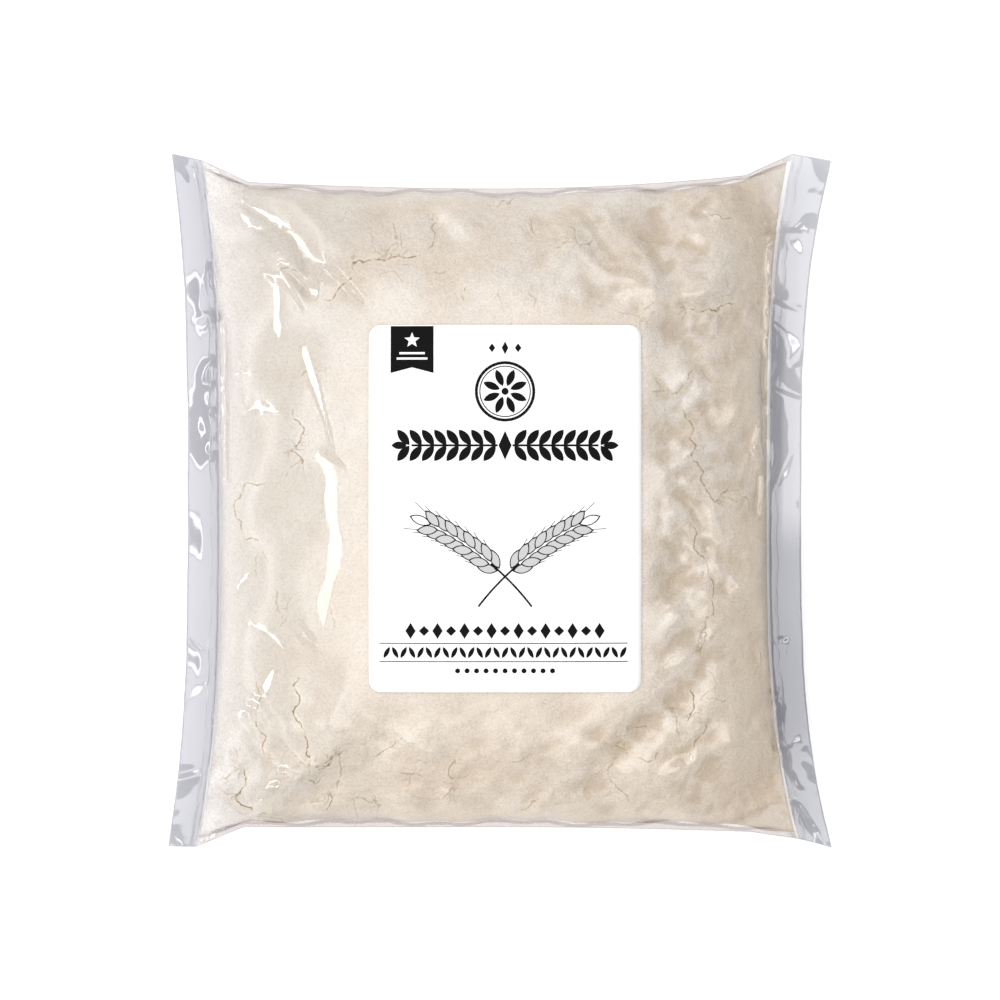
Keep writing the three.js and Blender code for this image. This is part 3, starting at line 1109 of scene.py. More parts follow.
@dataclass(frozen=True)
class PrintingInk:
    """Flexographic ink on coated paper: a thin even coat, a little glossier than the paper.

    The screen's specks are about 0.1 mm across, and are drawn at speck_mm so that they show.
    """

    name: str
    colour: str
    speck_mm: float = 0.3
    roughnesses: Point = (0.42, 0.6)
    gloss: float = 0.08

    def build(self) -> Material:
        """Build the ink's material.

        Returns:
            The material.
        """
        material, tree = new_material(self.name)
        place = add_node(tree, "TexCoord", output="Object")
        specks = add_node(tree, "TexNoise", {}, {"Vector": place, "Scale": scale_for(self.speck_mm)}, "Fac")
        low, high = self.roughnesses
        roughness = add_node(tree, "MapRange", {}, {0: specks, "To Min": low, "To Max": high})
        finish = {"Roughness": roughness, "Specular IOR Level": self.gloss}
        surface = add_node(tree, "BsdfPrincipled", {}, {"Base Color": linear(self.colour), **finish})
        add_node(tree, "OutputMaterial", {}, {"Surface": surface})
        return material


@dataclass(frozen=True)
class PaleSweep:
    """A plain white sweep of paper, lit a little from behind so that it stays pale."""

    white: str = "#F6F6F6"
    roughness: float = 0.9
    glow: float = 0.22

    def build(self) -> Material:
        """Build the sweep's material.

        Returns:
            The material.
        """
        material, tree = new_material("pale_sweep")
        glow = {"Emission Color": linear("#FFFFFF"), "Emission Strength": self.glow}
        finish = {"Roughness": self.roughness, "Specular IOR Level": 0.0, **glow}
        surface = add_node(tree, "BsdfPrincipled", {}, {"Base Color": linear(self.white), **finish})
        add_node(tree, "OutputMaterial", {}, {"Surface": surface})
        return material


# The label


class Ink(Enum):
    """The label's printing inks, by their colours."""

    BLACK = "#050505"
    GREY = "#C4C4C4"
    WHITE = "#FAFAFA"


@dataclass(frozen=True)
class PrintedShape:
    """A printed patch: its outline in millimetres from the label's middle, and its place in the stack."""

    ink: Ink
    outline: tuple[Point, ...]
    layer: int = 0


def turned(outline: list[Point], angle: float, middle: Point) -> tuple[Point, ...]:
    """Return an outline turned by degrees about its own origin, which is moved to a place."""
    cos, sin = math.cos(math.radians(angle)), math.sin(math.radians(angle))
    return tuple((middle[0] + x * cos - y * sin, middle[1] + x * sin + y * cos) for x, y in outline)


def disc(radius: float, sides: int = 28) -> list[Point]:
    """Return a circle's outline."""
    return [ahead((0.0, 0.0), 360 * k / sides, radius) for k in range(sides)]


def lozenge(width: float, height: float) -> list[Point]:
    """Return an upright lozenge's outline."""
    return [(-width / 2, 0.0), (0.0, -height / 2), (width / 2, 0.0), (0.0, height / 2)]


def ahead(start: Point, angle: float, distance: float) -> Point:
    """Return the point at a distance from another, in a direction in degrees from +X."""
    turn = math.radians(angle)
    return start[0] + distance * math.cos(turn), start[1] + distance * math.sin(turn)


def grain(length: float, width: float, steps: int = 7, fullness: float = 0.75) -> list[Point]:
    """Return the outline of a wheat grain that lies along X: pointed at both ends.

    Args:
        length: Its length.
        width: Its greatest width.
        steps: The points along each side.
        fullness: How blunt its ends are: less is blunter.

    Returns:
        The outline, anticlockwise.
    """
    shares = [k / steps for k in range(steps + 1)]
    halves = [width / 2 * math.sin(math.pi * share) ** fullness for share in shares]
    side = [(length * (share - 0.5), -half) for share, half in zip(shares, halves)]
    return side + [(x, -y) for x, y in reversed(side[1:-1])]


def bar(start: Point, end: Point, width: float, piece: float = 3.5) -> list[list[Point]]:
    """Return the outlines of a straight line, in short pieces that can follow a curved surface.

    Args:
        start: Where the line starts.
        end: Where it ends.
        width: Its width.
        piece: The longest piece.

    Returns:
        One outline for each piece.
    """
    length = math.dist(start, end)
    dx, dy = (end[0] - start[0]) / length, (end[1] - start[1]) / length
    nx, ny = -dy * width / 2, dx * width / 2
    count = math.ceil(length / piece)
    outlines = []
    for k in range(count):
        ax, ay = start[0] + dx * length * k / count, start[1] + dy * length * k / count
        bx, by = start[0] + dx * length * (k + 1) / count, start[1] + dy * length * (k + 1) / count
        outlines.append([(ax - nx, ay - ny), (bx - nx, by - ny), (bx + nx, by + ny), (ax + nx, ay + ny)])
    return outlines


@dataclass(frozen=True)
class LabelDesign:
    """A plain wheat design in black and grey: ribbon, badge, garland, crossed ears and borders.

    Every size is in millimetres and every place is measured from the label's middle.
    """

    outline_width: float = 0.32
    line_width: float = 0.7
    ribbon_ends: Point = (-38.6, -24.1)
    ribbon_top: float = 61.6
    ribbon_foot: float = 45.7
    ribbon_notch: float = 1.9
    ribbon_strips: int = 6
    ribbon_rows: int = 3
    ribbon_bars: tuple[Point, ...] = ((52.4, 4.3), (50.6, 5.2))
    star_height: float = 56.8
    star_radii: Point = (2.7, 1.15)
    badge_height: float = 39.5
    badge_rings: tuple[Point, ...] = ((9.7, 1.0), (8.5, 0.35))
    badge_grains: int = 8
    badge_grain: Point = (6.0, 2.5)
    badge_grain_place: float = 4.9
    badge_dot: float = 1.2
    crown_height: float = 54.2
    crown: tuple[Point, ...] = ((-4.4, 3.0), (0.0, 4.4), (4.4, 3.0))
    garland_height: float = 21.3
    garland_reach: float = 35.5
    garland_start: float = 5.2
    garland_pitch: float = 4.15
    garland_pairs: int = 8
    garland_lean: float = 52.0
    garland_grain: Point = (6.6, 2.9)
    garland_grain_place: float = 2.7
    ear_foot: Point = (9.0, -33.0)
    ear_turn: float = 52.0
    ear_bend: float = 0.011
    ear_pairs: int = 8
    ear_pitch: float = 3.5
    ear_grain: Point = (7.4, 3.3)
    ear_grain_place: float = 2.1
    ear_grain_lean: float = 26.0
    stem_steps: int = 10
    stem_step: float = 2.0
    stem_width: float = 0.65
    awn_length: float = 8.0
    awn_lean: float = 20.0
    awn_width: float = 0.2
    lozenges: int = 15
    lozenge_pitch: float = 4.55
    lozenge_row: float = -41.2
    rules: Point = (-45.4, -51.6)
    rule_ends: Point = (-42.4, 41.4)
    rule_width: float = 0.3
    sown_grains: int = 29
    sown_pitch: float = 2.85
    sown_row: float = -48.5
    dots: int = 11
    dot_pitch: float = 3.2
    dot_row: float = -54.7

    def shapes(self) -> list[PrintedShape]:
        """Draw the whole design.

        Returns:
            The printed shapes.
        """
        parts = (self.ribbon, self.badge, self.garland, self.crossed_ears, self.borders)
        return [shape for part in parts for shape in part()]

    def inked(
        self, outline: list[Point], at: Point, angle: float = 0.0, ink: Ink = Ink.BLACK
    ) -> PrintedShape:
        """Return one patch of ink, turned and moved to its place: white ink lies on the black."""
        return PrintedShape(ink, turned(outline, angle, at), int(ink is Ink.WHITE))

    def ruled(self, start: Point, end: Point, width: float, ink: Ink = Ink.BLACK) -> list[PrintedShape]:
        """Return a straight line's patches of ink."""
        return [PrintedShape(ink, tuple(piece), int(ink is Ink.WHITE)) for piece in bar(start, end, width)]

    def outlined_grain(
        self, size: Point, angle: float, middle: Point, fill: Ink, layer: int
    ) -> list[PrintedShape]:
        """Draw a grain with a thin black outline and a paler inside.

        Args:
            size: Its length and width.
            angle: Its turn in degrees.
            middle: Its middle.
            fill: The ink inside it.
            layer: The layer of its outline.

        Returns:
            The outline and the inside.
        """
        length, width = size
        rim = 2 * self.outline_width
        outer = turned(grain(length, width), angle, middle)
        inner = turned(grain(length - 2 * rim, width - rim), angle, middle)
        return [PrintedShape(Ink.BLACK, outer, layer), PrintedShape(fill, inner, layer + 1)]

    def ribbon(self) -> list[PrintedShape]:
        """Draw the black swallow-tailed ribbon that hangs from the label's upper edge.

        Returns:
            Its shapes, with a white star and two white bars.
        """
        (left, right), rows = self.ribbon_ends, self.ribbon_rows
        middle, wide = (left + right) / 2, (right - left) / self.ribbon_strips
        shapes = []
        for k in range(self.ribbon_strips):
            sides = (left + wide * k, left + wide * (k + 1))
            rises = [self.ribbon_notch * (1 - abs(x - middle) / (right - middle)) for x in sides]
            feet = [self.ribbon_foot + rise for rise in rises]
            for low, high in ((row / rows, (row + 1) / rows) for row in range(rows)):
                patch = [(x, foot + (self.ribbon_top - foot) * low) for x, foot in zip(sides, feet)]
                upper = [(x, foot + (self.ribbon_top - foot) * high) for x, foot in zip(sides, feet)]
                shapes.append(PrintedShape(Ink.BLACK, (*patch, *reversed(upper))))
        star = [ahead((0.0, 0.0), 90 + 36 * k, self.star_radii[k % 2]) for k in range(10)]
        shapes.append(self.inked(star, (middle, self.star_height), ink=Ink.WHITE))
        for height, half_length in self.ribbon_bars:
            start, end = (middle - half_length, height), (middle + half_length, height)
            shapes += self.ruled(start, end, self.line_width, Ink.WHITE)
        return shapes

    def badge(self) -> list[PrintedShape]:
        """Draw the round badge: two rings, and eight grains about a middle dot.

        Returns:
            Its shapes, with three lozenges above the badge.
        """
        middle = (0.0, self.badge_height)
        shapes = []
        for radius, width in self.badge_rings:
            ring = turned(disc(radius, 40), 0, middle)
            for start, end in zip(ring, ring[1:] + ring[:1]):
                shapes += self.ruled(start, end, width)
        for k in range(self.badge_grains):
            angle = 360 * (k + 0.5) / self.badge_grains
            at = ahead(middle, angle, self.badge_grain_place)
            shapes.append(self.inked(grain(*self.badge_grain), at, angle))
        shapes.append(self.inked(disc(self.badge_dot, 16), middle))
        for place, height in self.crown:
            shapes.append(self.inked(lozenge(2.2, height), (place, self.crown_height)))
        return shapes

    def garland(self) -> list[PrintedShape]:
        """Draw the heavy black garland: leaning grains on a stem, out from a middle lozenge.

        Returns:
            Its shapes.
        """
        height, reach = self.garland_height, self.garland_reach
        shapes = [self.inked(lozenge(4.4, 9.8), (0.0, height))]
        for side in (-1, 1):
            shapes += self.ruled((side * 2.5, height), (side * (reach - 4), height), self.line_width)
            for k in range(self.garland_pairs):
                place = side * (self.garland_start + self.garland_pitch * k)
                for lean in (-1, 1):
                    at = (place, height + lean * self.garland_grain_place)
                    angle = lean * side * self.garland_lean + (0 if side > 0 else 180)
                    shapes.append(self.inked(grain(*self.garland_grain), at, angle))
            shapes.append(self.inked(grain(5.2, 2.6), (side * (reach + 0.2), height)))
        return shapes

    def crossed_ears(self) -> list[PrintedShape]:
        """Draw two grey wheat ears with black outlines, their stems crossed at the bottom.

        Returns:
            Their shapes.
        """
        shapes = []
        for side in (-1, 1):
            at, turn = (-side * self.ear_foot[0], self.ear_foot[1]), self.ear_turn
            lie = turn if side > 0 else 180 - turn
            for _ in range(self.stem_steps):
                start, at = at, ahead(at, lie, self.stem_step)
                shapes += self.ruled(start, at, self.stem_width)
                turn -= math.degrees(self.stem_step * self.ear_bend)
                lie = turn if side > 0 else 180 - turn
            for k in range(self.ear_pairs):
                for lean in (-1, 1):
                    centre = ahead(at, lie + 90 * lean, self.ear_grain_place)
                    tip, layer = lie + self.ear_grain_lean * lean, 1 + 2 * (k % 2)
                    shapes += self.outlined_grain(self.ear_grain, tip, centre, Ink.GREY, layer)
                    awn = ahead(centre, lie + self.awn_lean * lean, self.awn_length)
                    shapes += self.ruled(centre, awn, self.awn_width)
                at = ahead(at, lie, self.ear_pitch)
                turn -= math.degrees(self.ear_pitch * self.ear_bend)
                lie = turn if side > 0 else 180 - turn
            shapes += self.outlined_grain((7.8, 3.2), lie, at, Ink.WHITE, 5)
        return shapes

    def borders(self) -> list[PrintedShape]:
        """Draw the lower rows: lozenges, two rules with leaning grains between them, and dots.

        Returns:
            Their shapes.
        """
        shapes = []
        for k in range(self.lozenges):
            at = ((k - self.lozenges // 2) * self.lozenge_pitch, self.lozenge_row)
            shapes.append(self.inked(lozenge(3.5, 3.4 if k % 2 else 5.4), at))
        for height in self.rules:
            left, right = self.rule_ends
            shapes += self.ruled((left, height), (right, height), self.rule_width)
        for k in range(self.sown_grains):
            at = ((k - self.sown_grains // 2) * self.sown_pitch, self.sown_row)
            shapes.append(self.inked(grain(4.3, 1.5), at, 118 if k % 2 else 62))
        for k in range(self.dots):
            at = ((k - self.dots // 2) * self.dot_pitch, self.dot_row)
            shapes.append(self.inked(disc(0.85, 14), at))
        return shapes


@dataclass(frozen=True)
class LabelSheet:
    """The self-adhesive label on the bag's upper face: a rounded rectangle that follows the film."""

    form: PillowForm
    x: float = 1.7
    y: float = -2.9
    width: float = 92.0
    height: float = 124.0
    corner: float = 4.0
    gap: float = 0.33
    thickness: float = 0.22
    columns: int = 47
    corner_rows: int = 6
    middle_rows: int = 59
    ink_height: float = 0.06
    layer_step: float = 0.03
    design: LabelDesign = LabelDesign()

    def beyond(self, x: Array, y: Array) -> Array:
        """Return how far plan positions lie outside the label's edges, negative within them."""
        return np.maximum(np.abs(x - self.x) - self.width / 2, np.abs(y - self.y) - self.height / 2)

    def face_height(self, x: Array, y: Array) -> Array:
        """Return the height of the bag's upper face at plan positions."""
        along, across = self.form.place(x, y)
        return self.form.upper_height(along, across, self)

    def build(self) -> list[Object]:
        """Build the paper and what is printed on it.

        Returns:
            The paper, and one piece for each ink.
        """
        paper = self.build_paper()
        printed = [self.build_print(ink) for ink in Ink]
        for piece in (paper, *printed):
            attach(piece, BODY)
        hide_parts("label")
        return [paper, *printed]

    def build_paper(self) -> Object:
        """Build the paper as a thin sheet with rounded corners.

        Returns:
            The dressed piece.
        """
        arc = np.linspace(0, np.pi / 2, self.corner_rows + 1)
        from_end = self.corner * (1 - np.sin(arc))
        inset = self.corner * (1 - np.cos(arc))
        straight = np.linspace(self.corner, self.height - self.corner, self.middle_rows)[1:-1]
        places = np.concatenate([from_end[::-1], straight, self.height - from_end])
        insets = np.concatenate([inset[::-1], np.zeros(len(straight)), inset])
        y = self.y - self.height / 2 + places[:, None] * np.ones((1, self.columns))
        x = self.x + (self.width / 2 - insets)[:, None] * np.linspace(-1, 1, self.columns)[None, :]
        underside = self.face_height(x, y) + self.gap
        upper = np.stack([x, y, underside + self.thickness], -1)
        lower = np.stack([x, y, underside], -1)
        paper = closed_sheet("label_paper", lower, upper)
        paper.data.flip_normals()
        paper.data.materials.append(CoatedLabelPaper().build())
        return paper

    def build_print(self, ink: Ink) -> Object:
        """Build all that is printed in one ink, as thin patches on the paper.

        Args:
            ink: The ink.

        Returns:
            The dressed piece.
        """
        shapes = [shape for shape in self.design.shapes() if shape.ink is ink]
        plan = np.array([point for shape in shapes for point in shape.outline])
        x, y = self.x + plan[:, 0], self.y + plan[:, 1]
        paper = self.face_height(x, y) + self.gap + self.thickness
        rise = np.concatenate(
            [np.full(len(s.outline), self.ink_height + self.layer_step * s.layer) for s in shapes]
        )
        upper = np.stack([x, y, paper + rise], -1)
        lower = np.stack([x, y, paper - self.ink_height], -1)
        count = len(plan)
        faces: list[tuple[int, ...]] = []
        start = 0
        for shape in shapes:
            ring = list(range(start, start + len(shape.outline)))
            following = ring[1:] + ring[:1]
            faces.append(tuple(ring))
            faces.append(tuple(count + k for k in reversed(ring)))
            faces += [(count + a, count + b, b, a) for a, b in zip(ring, following)]
            start += len(ring)
        piece = mesh_object("label_print_" + ink.name.lower(), np.concatenate([upper, lower]), faces)
        piece.data.shade_flat()
        piece.data.materials.append(PrintingInk("printing_ink_" + ink.name.lower(), ink.value).build())
        return piece


# The film and the flour


@dataclass
class FilmGrid:
    """The film's two sheets as grids of points at one fineness, and the flour's body under them."""

    along: Array
    across: Array
    home: Array
    reach: Array
    body: Array
    sheets: Array
    start: Array
    freedom: Array
    spare: Array
    seam: Array
    settled: Array | None = None
    flat: Array | None = None

    @property
    def sealed(self) -> Array:
        """Return which points lie in a heat seal."""
        return self.reach > 0


@dataclass(frozen=True)
class FilmEnvelope:
    """The tube of film, relaxed over the settled flour so that its spare width buckles into creases.

    Rows of a grid run from the left fin's end to the right one's, and columns from the lower folded
    edge to the upper one. The film can't stretch or pass into the flour, resists bending, and has a
    little more width than the flour needs, as real film has. A level is its rows and columns, its
    steps and the height of the random kick that starts it, and a lip's wave is its height, its length
    and its phase. A step of grey is its share, and where it starts and is full below mid-bag.
    """

    form: PillowForm
    label: LabelSheet
    tube_length: float = 234.0
    fin_length: float = 11.0
    thickness: float = 0.16
    label_clearance: float = 0.2
    levels: tuple[tuple[int, int, int, float], ...] = (
        (60, 62, 120, 0.3),
        (119, 123, 120, 0.1),
        (240, 250, 90, 0.04),
        (330, 344, 30, 0.0),
    )
    kick_smoothing: int = 4
    kick_reach: Point = (0.55, 0.9)
    middle_calm: float = 0.1
    row_evening: float = 0.4
    column_bunching: float = 0.45
    lip_width: float = 1.9
    lip_waves: Triples = ((0.5, 53, 1), (0.35, 19, 2.4))
    ridge_start: float = 0.35
    ridge_power: float = 1.3
    stretch_stiffness: float = 0.9
    shear_stiffness: float = 0.4
    bend_stiffness: float = 0.010
    weight: float = 0.003
    anchor: float = 0.007
    end_spare: float = 0.009
    edge_spare: float = 0.008
    fin_spare: float = 0.016
    spare_start: float = 0.7
    push_share: float = 0.7
    push_most: float = 2.0
    seal_hold: float = 0.25
    seal_hold_reach: float = 0.6
    fold_edge: float = 0.35
    lean_share: float = 0.91
    swing: float = 0.0008
    most_lean: float = 0.62
    most_slant: float = 2.5
    tilt_steps: int = 4
    loose: float = 0.03
    fall_back: float = 0.001
    fold_steps: int = 300
    stand_heights: Point = (0.4, 1.2)
    flat_free: float = 0.5
    lip_start: float = 0.992
    # the right fin's painted shade: its least share, its steps below mid-bag, and more beside the flour
    grey_least: float = 0.52
    grey_steps: Triples = ((0.41, 0, 22), (0.07, 30, 60), (-0.22, 75, 95))
    grey_beside_flour: float = 0.33
    grey_beside_reach: Point = (0.3, 0.5)
    grey_beside_bottom: Point = (-25.0, 0.0)
    grey_beside_top: Point = (55.0, 80.0)
    seed: int = 5

    def lip(self, x: Array) -> Array:
        """Draw the width of clear film beyond the flour along a folded edge.

        Args:
            x: The places along the edge.

        Returns:
            The width at each of them.
        """
        width = np.full(np.shape(x), self.lip_width)
        for height, length, phase in self.lip_waves:
            width = width + height * np.sin(2 * np.pi * x / length + phase)
        return width

    def tip_shift(self, edge: FoldedEdge, left: Array, right: Array) -> Array:
        """Return how far a folded edge shifts in Y, by the share of the way out along each fin."""
        return left * (edge.tips[0] - edge.corners[0]) + right * (edge.tips[1] - edge.corners[1])

    def inner_across(self, x: Array, across: Array) -> Array:
        """Return places across the flour, which ends short of the folded edges by the lips."""
        half = self.form.width / 2
        return np.clip(across * half / (half - self.lip(x)), -1, 1)

    def new_grid(self, rows: int, columns: int) -> FilmGrid:
        """Lay both sheets on the flour's body, with the ridges that the spare film stands in.

        Args:
            rows: The points along the bag.
            columns: The points across it.

        Returns:
            The grid.
        """
        u = np.linspace(0, self.tube_length, rows)[:, None] * np.ones((1, columns))
        v = np.linspace(-1, 1, columns)[None, :] * np.ones((rows, 1))
        fin, form = self.fin_length, self.form
        share = np.clip((u - fin) / (self.tube_length - 2 * fin), 0, 1) * 2 - 1
        along = self.row_evening * share + (1 - self.row_evening) * np.sin(np.pi / 2 * share)
        bunched = self.column_bunching * np.sin(np.pi / 2 * v)
        across = (1 - self.column_bunching) * v + bunched
        left = np.clip((fin - u) / fin, 0, 1)
        right = np.clip((u - self.tube_length + fin) / fin, 0, 1)
        x, y = form.plan(along, across)
        for line, end, out in (
            (form.left_seal, form.left_end, left),
            (form.right_seal, form.right_end, right),
        ):
            seal = form.flared(line, across)
            x = np.where(out > 0, seal + (form.flared(end, across) - seal) * out, x)
        y += (across + 1) / 2 * self.tip_shift(form.upper_edge, left, right)
        y += (1 - across) / 2 * self.tip_shift(form.lower_edge, left, right)
        reach = np.maximum(left, right)
        sealed = reach > 0
        inner = self.inner_across(x, across)
        seam = form.seam_height(np.ones(across.shape), across)
        upper = np.where(sealed, seam, form.upper_height(along, inner, self.label))
        lower = np.where(sealed, seam, form.lower_height(along, inner))
        freedom = form.label_freedom(x, y, self.label)
        full = form.fullness(form.upper_bulge, along, inner)
        ridge = self.ridges(FILM_RIDGES, x, y) * smoothstep(full, 0, self.ridge_start) * freedom
        fold = self.ridges(FIN_RIDGES, x, y)
        home = np.stack([x, y], -1)
        upper_start = upper + np.where(sealed, fold, ridge)
        start = np.stack([np.dstack([home, upper_start]), np.dstack([home, lower + sealed * fold])])
        spare = self.end_spare * smoothstep(np.abs(along), self.spare_start, 1)
        spare += self.edge_spare * smoothstep(np.abs(across), self.spare_start, 1)
        spare = np.where(sealed, self.fin_spare * (0.5 + 0.5 * reach), spare * freedom**2)
        body = np.stack([upper, lower])
        return FilmGrid(along, across, home, reach, body, start.copy(), start, freedom, spare, seam)

    def ridges(self, folds: tuple[FilmRidge, ...], x: Array, y: Array) -> Array:
        """Return how far folds of spare film stand up.

        Args:
            folds: The folds.
            x: Plan positions' X.
            y: Their Y.

        Returns:
            The added height.
        """
        total = np.zeros(x.shape)
        for ridge in folds:
            distance = np.abs(line_distance(x, y, list(ridge.line))[0])
            total += ridge.height * np.exp(-((distance / ridge.width) ** self.ridge_power))
        return total

    def relaxed(self) -> FilmGrid:
        """Relax the film from a coarse grid to a fine one.

        Returns:
            The finest grid.
        """
        random = np.random.default_rng(self.seed)
        last: FilmGrid | None = None
        for rows, columns, steps, kick_height in self.levels:
            grid = self.new_grid(rows, columns)
            rest = self.rest_lengths(grid)
            if last is not None:
                grid.sheets += resampled(last.sheets - last.start, rows, columns)
            kick = random.normal(0, 1, (2, rows, columns, 1))
            kick = blurred(kick, self.kick_smoothing)[..., 0]
            kick /= kick.std()
            kick[1] = np.where(grid.sealed, kick[0], kick[1])
            outer = smoothstep(np.maximum(np.abs(grid.along), np.abs(grid.across)), *self.kick_reach)
            kick *= kick_height * (self.middle_calm + (1 - self.middle_calm) * outer)
            grid.sheets[..., 2] += kick * grid.freedom
            for _ in range(steps):
                self.relax_once(grid, rest)
            last = grid
            LOG.info("film relaxed on %d x %d points", rows, columns)
        return last

    def rest_lengths(self, grid: FilmGrid) -> list[Array]:
        """Measure the film's own lengths between neighbouring points, with its spare width.

        Args:
            grid: The grid at its start.

        Returns:
            The lengths along, across and on both diagonals.
        """
        sheets, more = grid.start, 1 + grid.spare[None]
        along = np.linalg.norm(sheets[:, 1:] - sheets[:, :-1], axis=-1)
        across = np.linalg.norm(sheets[:, :, 1:] - sheets[:, :, :-1], axis=-1)
        falling = np.linalg.norm(sheets[:, 1:, 1:] - sheets[:, :-1, :-1], axis=-1)
        rising = np.linalg.norm(sheets[:, 1:, :-1] - sheets[:, :-1, 1:], axis=-1)
        return [
            along * (more[:, 1:] + more[:, :-1]) / 2,
            across * (more[:, :, 1:] + more[:, :, :-1]) / 2,
            falling * more[:, 1:, 1:],
            rising * more[:, 1:, 1:],
        ]

    @staticmethod
    def pull_pairs(first: Array, second: Array, rest: Array, stiffness: float) -> None:
        """Move pairs of points towards their rest length, in place.

        Args:
            first: The first points.
            second: The second points.
            rest: Their rest lengths.
            stiffness: The share of the error that one step takes away.
        """
        gap = second - first
        length = np.sqrt((gap * gap).sum(-1)) + 1e-9
        gap *= ((length - rest) / length * (stiffness / 2))[..., None]
        first += gap
        second -= gap

    def relax_once(self, grid: FilmGrid, rest: list[Array]) -> None:
        """Take one step: lengths, bending, the seals and folds, and the flour underneath.

        Args:
            grid: The grid, whose sheets are moved.
            rest: The rest lengths.
        """
        sheets = grid.sheets
        rows, columns = sheets.shape[1:3]
        stretch, shear = self.stretch_stiffness, self.shear_stiffness
        for odd in (0, 1):
            even_rows, next_rows = slice(odd, rows - 1, 2), slice(odd + 1, rows, 2)
            even_columns, next_columns = slice(odd, columns - 1, 2), slice(odd + 1, columns, 2)
            self.pull_pairs(sheets[:, even_rows], sheets[:, next_rows], rest[0][:, odd::2], stretch)
            across = rest[1][:, :, odd::2]
            self.pull_pairs(sheets[:, :, even_columns], sheets[:, :, next_columns], across, stretch)
            self.pull_pairs(
                sheets[:, even_rows, :-1], sheets[:, next_rows, 1:], rest[2][:, odd::2], shear
            )
            self.pull_pairs(
                sheets[:, even_rows, 1:], sheets[:, next_rows, :-1], rest[3][:, odd::2], shear
            )
        sheets -= self.bend_stiffness * second_difference(second_difference(sheets))
        middle = sheets.mean(0)
        sheets[:, grid.sealed] = middle[grid.sealed]
        for edge in (0, -1):
            sheets[:, :, edge] = middle[:, edge]
            sheets[:, :, edge, :2] = grid.home[:, edge]
        sheets[..., :2] += self.anchor * (grid.home - sheets[..., :2])
        for face in Face:
            gap = face.outward * (sheets[face.value, ..., 2] - grid.body[face.value])
            pushed = self.push_share * np.maximum(gap, -self.push_most)
            settled = np.where(gap > 0, self.weight * gap, pushed)
            sheets[face.value, ..., 2] -= face.outward * np.where(grid.sealed, 0, settled)
        near_flour = 1 - smoothstep(grid.reach, 0, self.seal_hold_reach)
        held = np.where(grid.sealed, self.seal_hold * near_flour, 0)
        sheets[..., 2] += held * (grid.seam - sheets[..., 2])
        sheets[1, ..., 2] = np.maximum(sheets[1, ..., 2], 0)

    def pressed_under_label(self, grid: FilmGrid) -> None:
        """Press the upper sheet down under the label, and clear of the table all over.

        Args:
            grid: The grid, whose sheets are moved.
        """
        upper = grid.sheets[Face.UPPER.value]
        x, y = upper[..., 0], upper[..., 1]
        beyond = self.label.beyond(x, y)
        limit = self.label.face_height(x, y) + self.label_clearance + np.maximum(beyond, 0)
        upper[..., 2] = np.minimum(upper[..., 2], limit)
        grid.sheets[..., 2] = np.maximum(grid.sheets[..., 2], self.thickness)

    def flats(self, x: Array, y: Array) -> tuple[Array, Array, Array]:
        """Find the flats of the taut folds.

        Args:
            x: The film's plan positions' X.
            y: Their Y.

        Returns:
            Which points lie on a flat, from 0 to 1, the slope of its flank, and its line's slant.
        """
        flat, flank, slant = np.zeros((3, *x.shape))
        for fold in (*TAUT_FOLDS, *FIN_FLATS):
            distance, share = line_distance(x, y, list(fold.line))
            even = np.linspace(0, 1, len(fold.widths))
            outside = np.abs(distance) - np.interp(share, even, fold.widths) / 2
            inside = 1 - smoothstep(outside, self.fold_edge, 3 * self.fold_edge)
            run, rise = np.gradient(np.array(fold.line), axis=0).T
            slants = np.clip(run / np.where(rise == 0, 1, rise), -self.most_slant, self.most_slant)
            nearer = inside > flat
            flank[nearer] = fold.flank.value
            slant[nearer] = np.interp(share, np.linspace(0, 1, len(slants)), slants)[nearer]
            flat = np.maximum(flat, inside)
        return flat, flank, slant

    def raise_folds(self, grid: FilmGrid) -> None:
        """Pull the taut folds' flats to their slopes, and let the film between them follow.

        The heights are the best fit to the wanted slopes: strong on a flat, weak between flats, with
        a faint pull back to the settled film, which ends each fold's reach.

        Args:
            grid: The grid, whose sheets are moved and whose flats are set.
        """
        grid.settled = grid.sheets.copy()
        upper = grid.sheets[Face.UPPER.value]
        x, y, z = upper[..., 0], upper[..., 1], upper[..., 2]
        grid.flat, flank, slant = self.flats(x, y)
        normals = sheet_normals(upper)
        slope, sideways = -normals[..., 0] / normals[..., 2], -normals[..., 1] / normals[..., 2]
        tilt = np.zeros(x.shape)
        for _ in range(self.tilt_steps):
            lean = np.clip(sideways - tilt * slant, -self.most_lean, self.most_lean)
            tilt = flank * (1 - self.lean_share * lean**2) + self.swing * x - slope
        pulls = []
        for axis in (0, 1):
            ends = (slice(None, -1), slice(1, None))
            low, high = [(slice(None),) * axis + (end,) for end in ends]
            held = np.minimum(grid.flat[low], grid.flat[high])
            change = held * (tilt[low] + tilt[high]) / 2 * np.diff(x, axis=axis)
            change -= held * (tilt * slant)[low] * np.diff(y, axis=axis)
            pulls.append((low, high, self.loose + (1 - self.loose) * held, change))
        lift = np.zeros(x.shape)
        for _ in range(self.fold_steps):
            total, weights = np.zeros(x.shape), np.full(x.shape, self.fall_back)
            for low, high, weight, change in pulls:
                total[low] += weight * (lift[high] - change)
                total[high] += weight * (lift[low] + change)
                weights[low] += weight
                weights[high] += weight
            lift = total / weights
        z += lift
        grid.sheets[Face.LOWER.value, ..., 2] += np.where(grid.sealed, lift, 0)

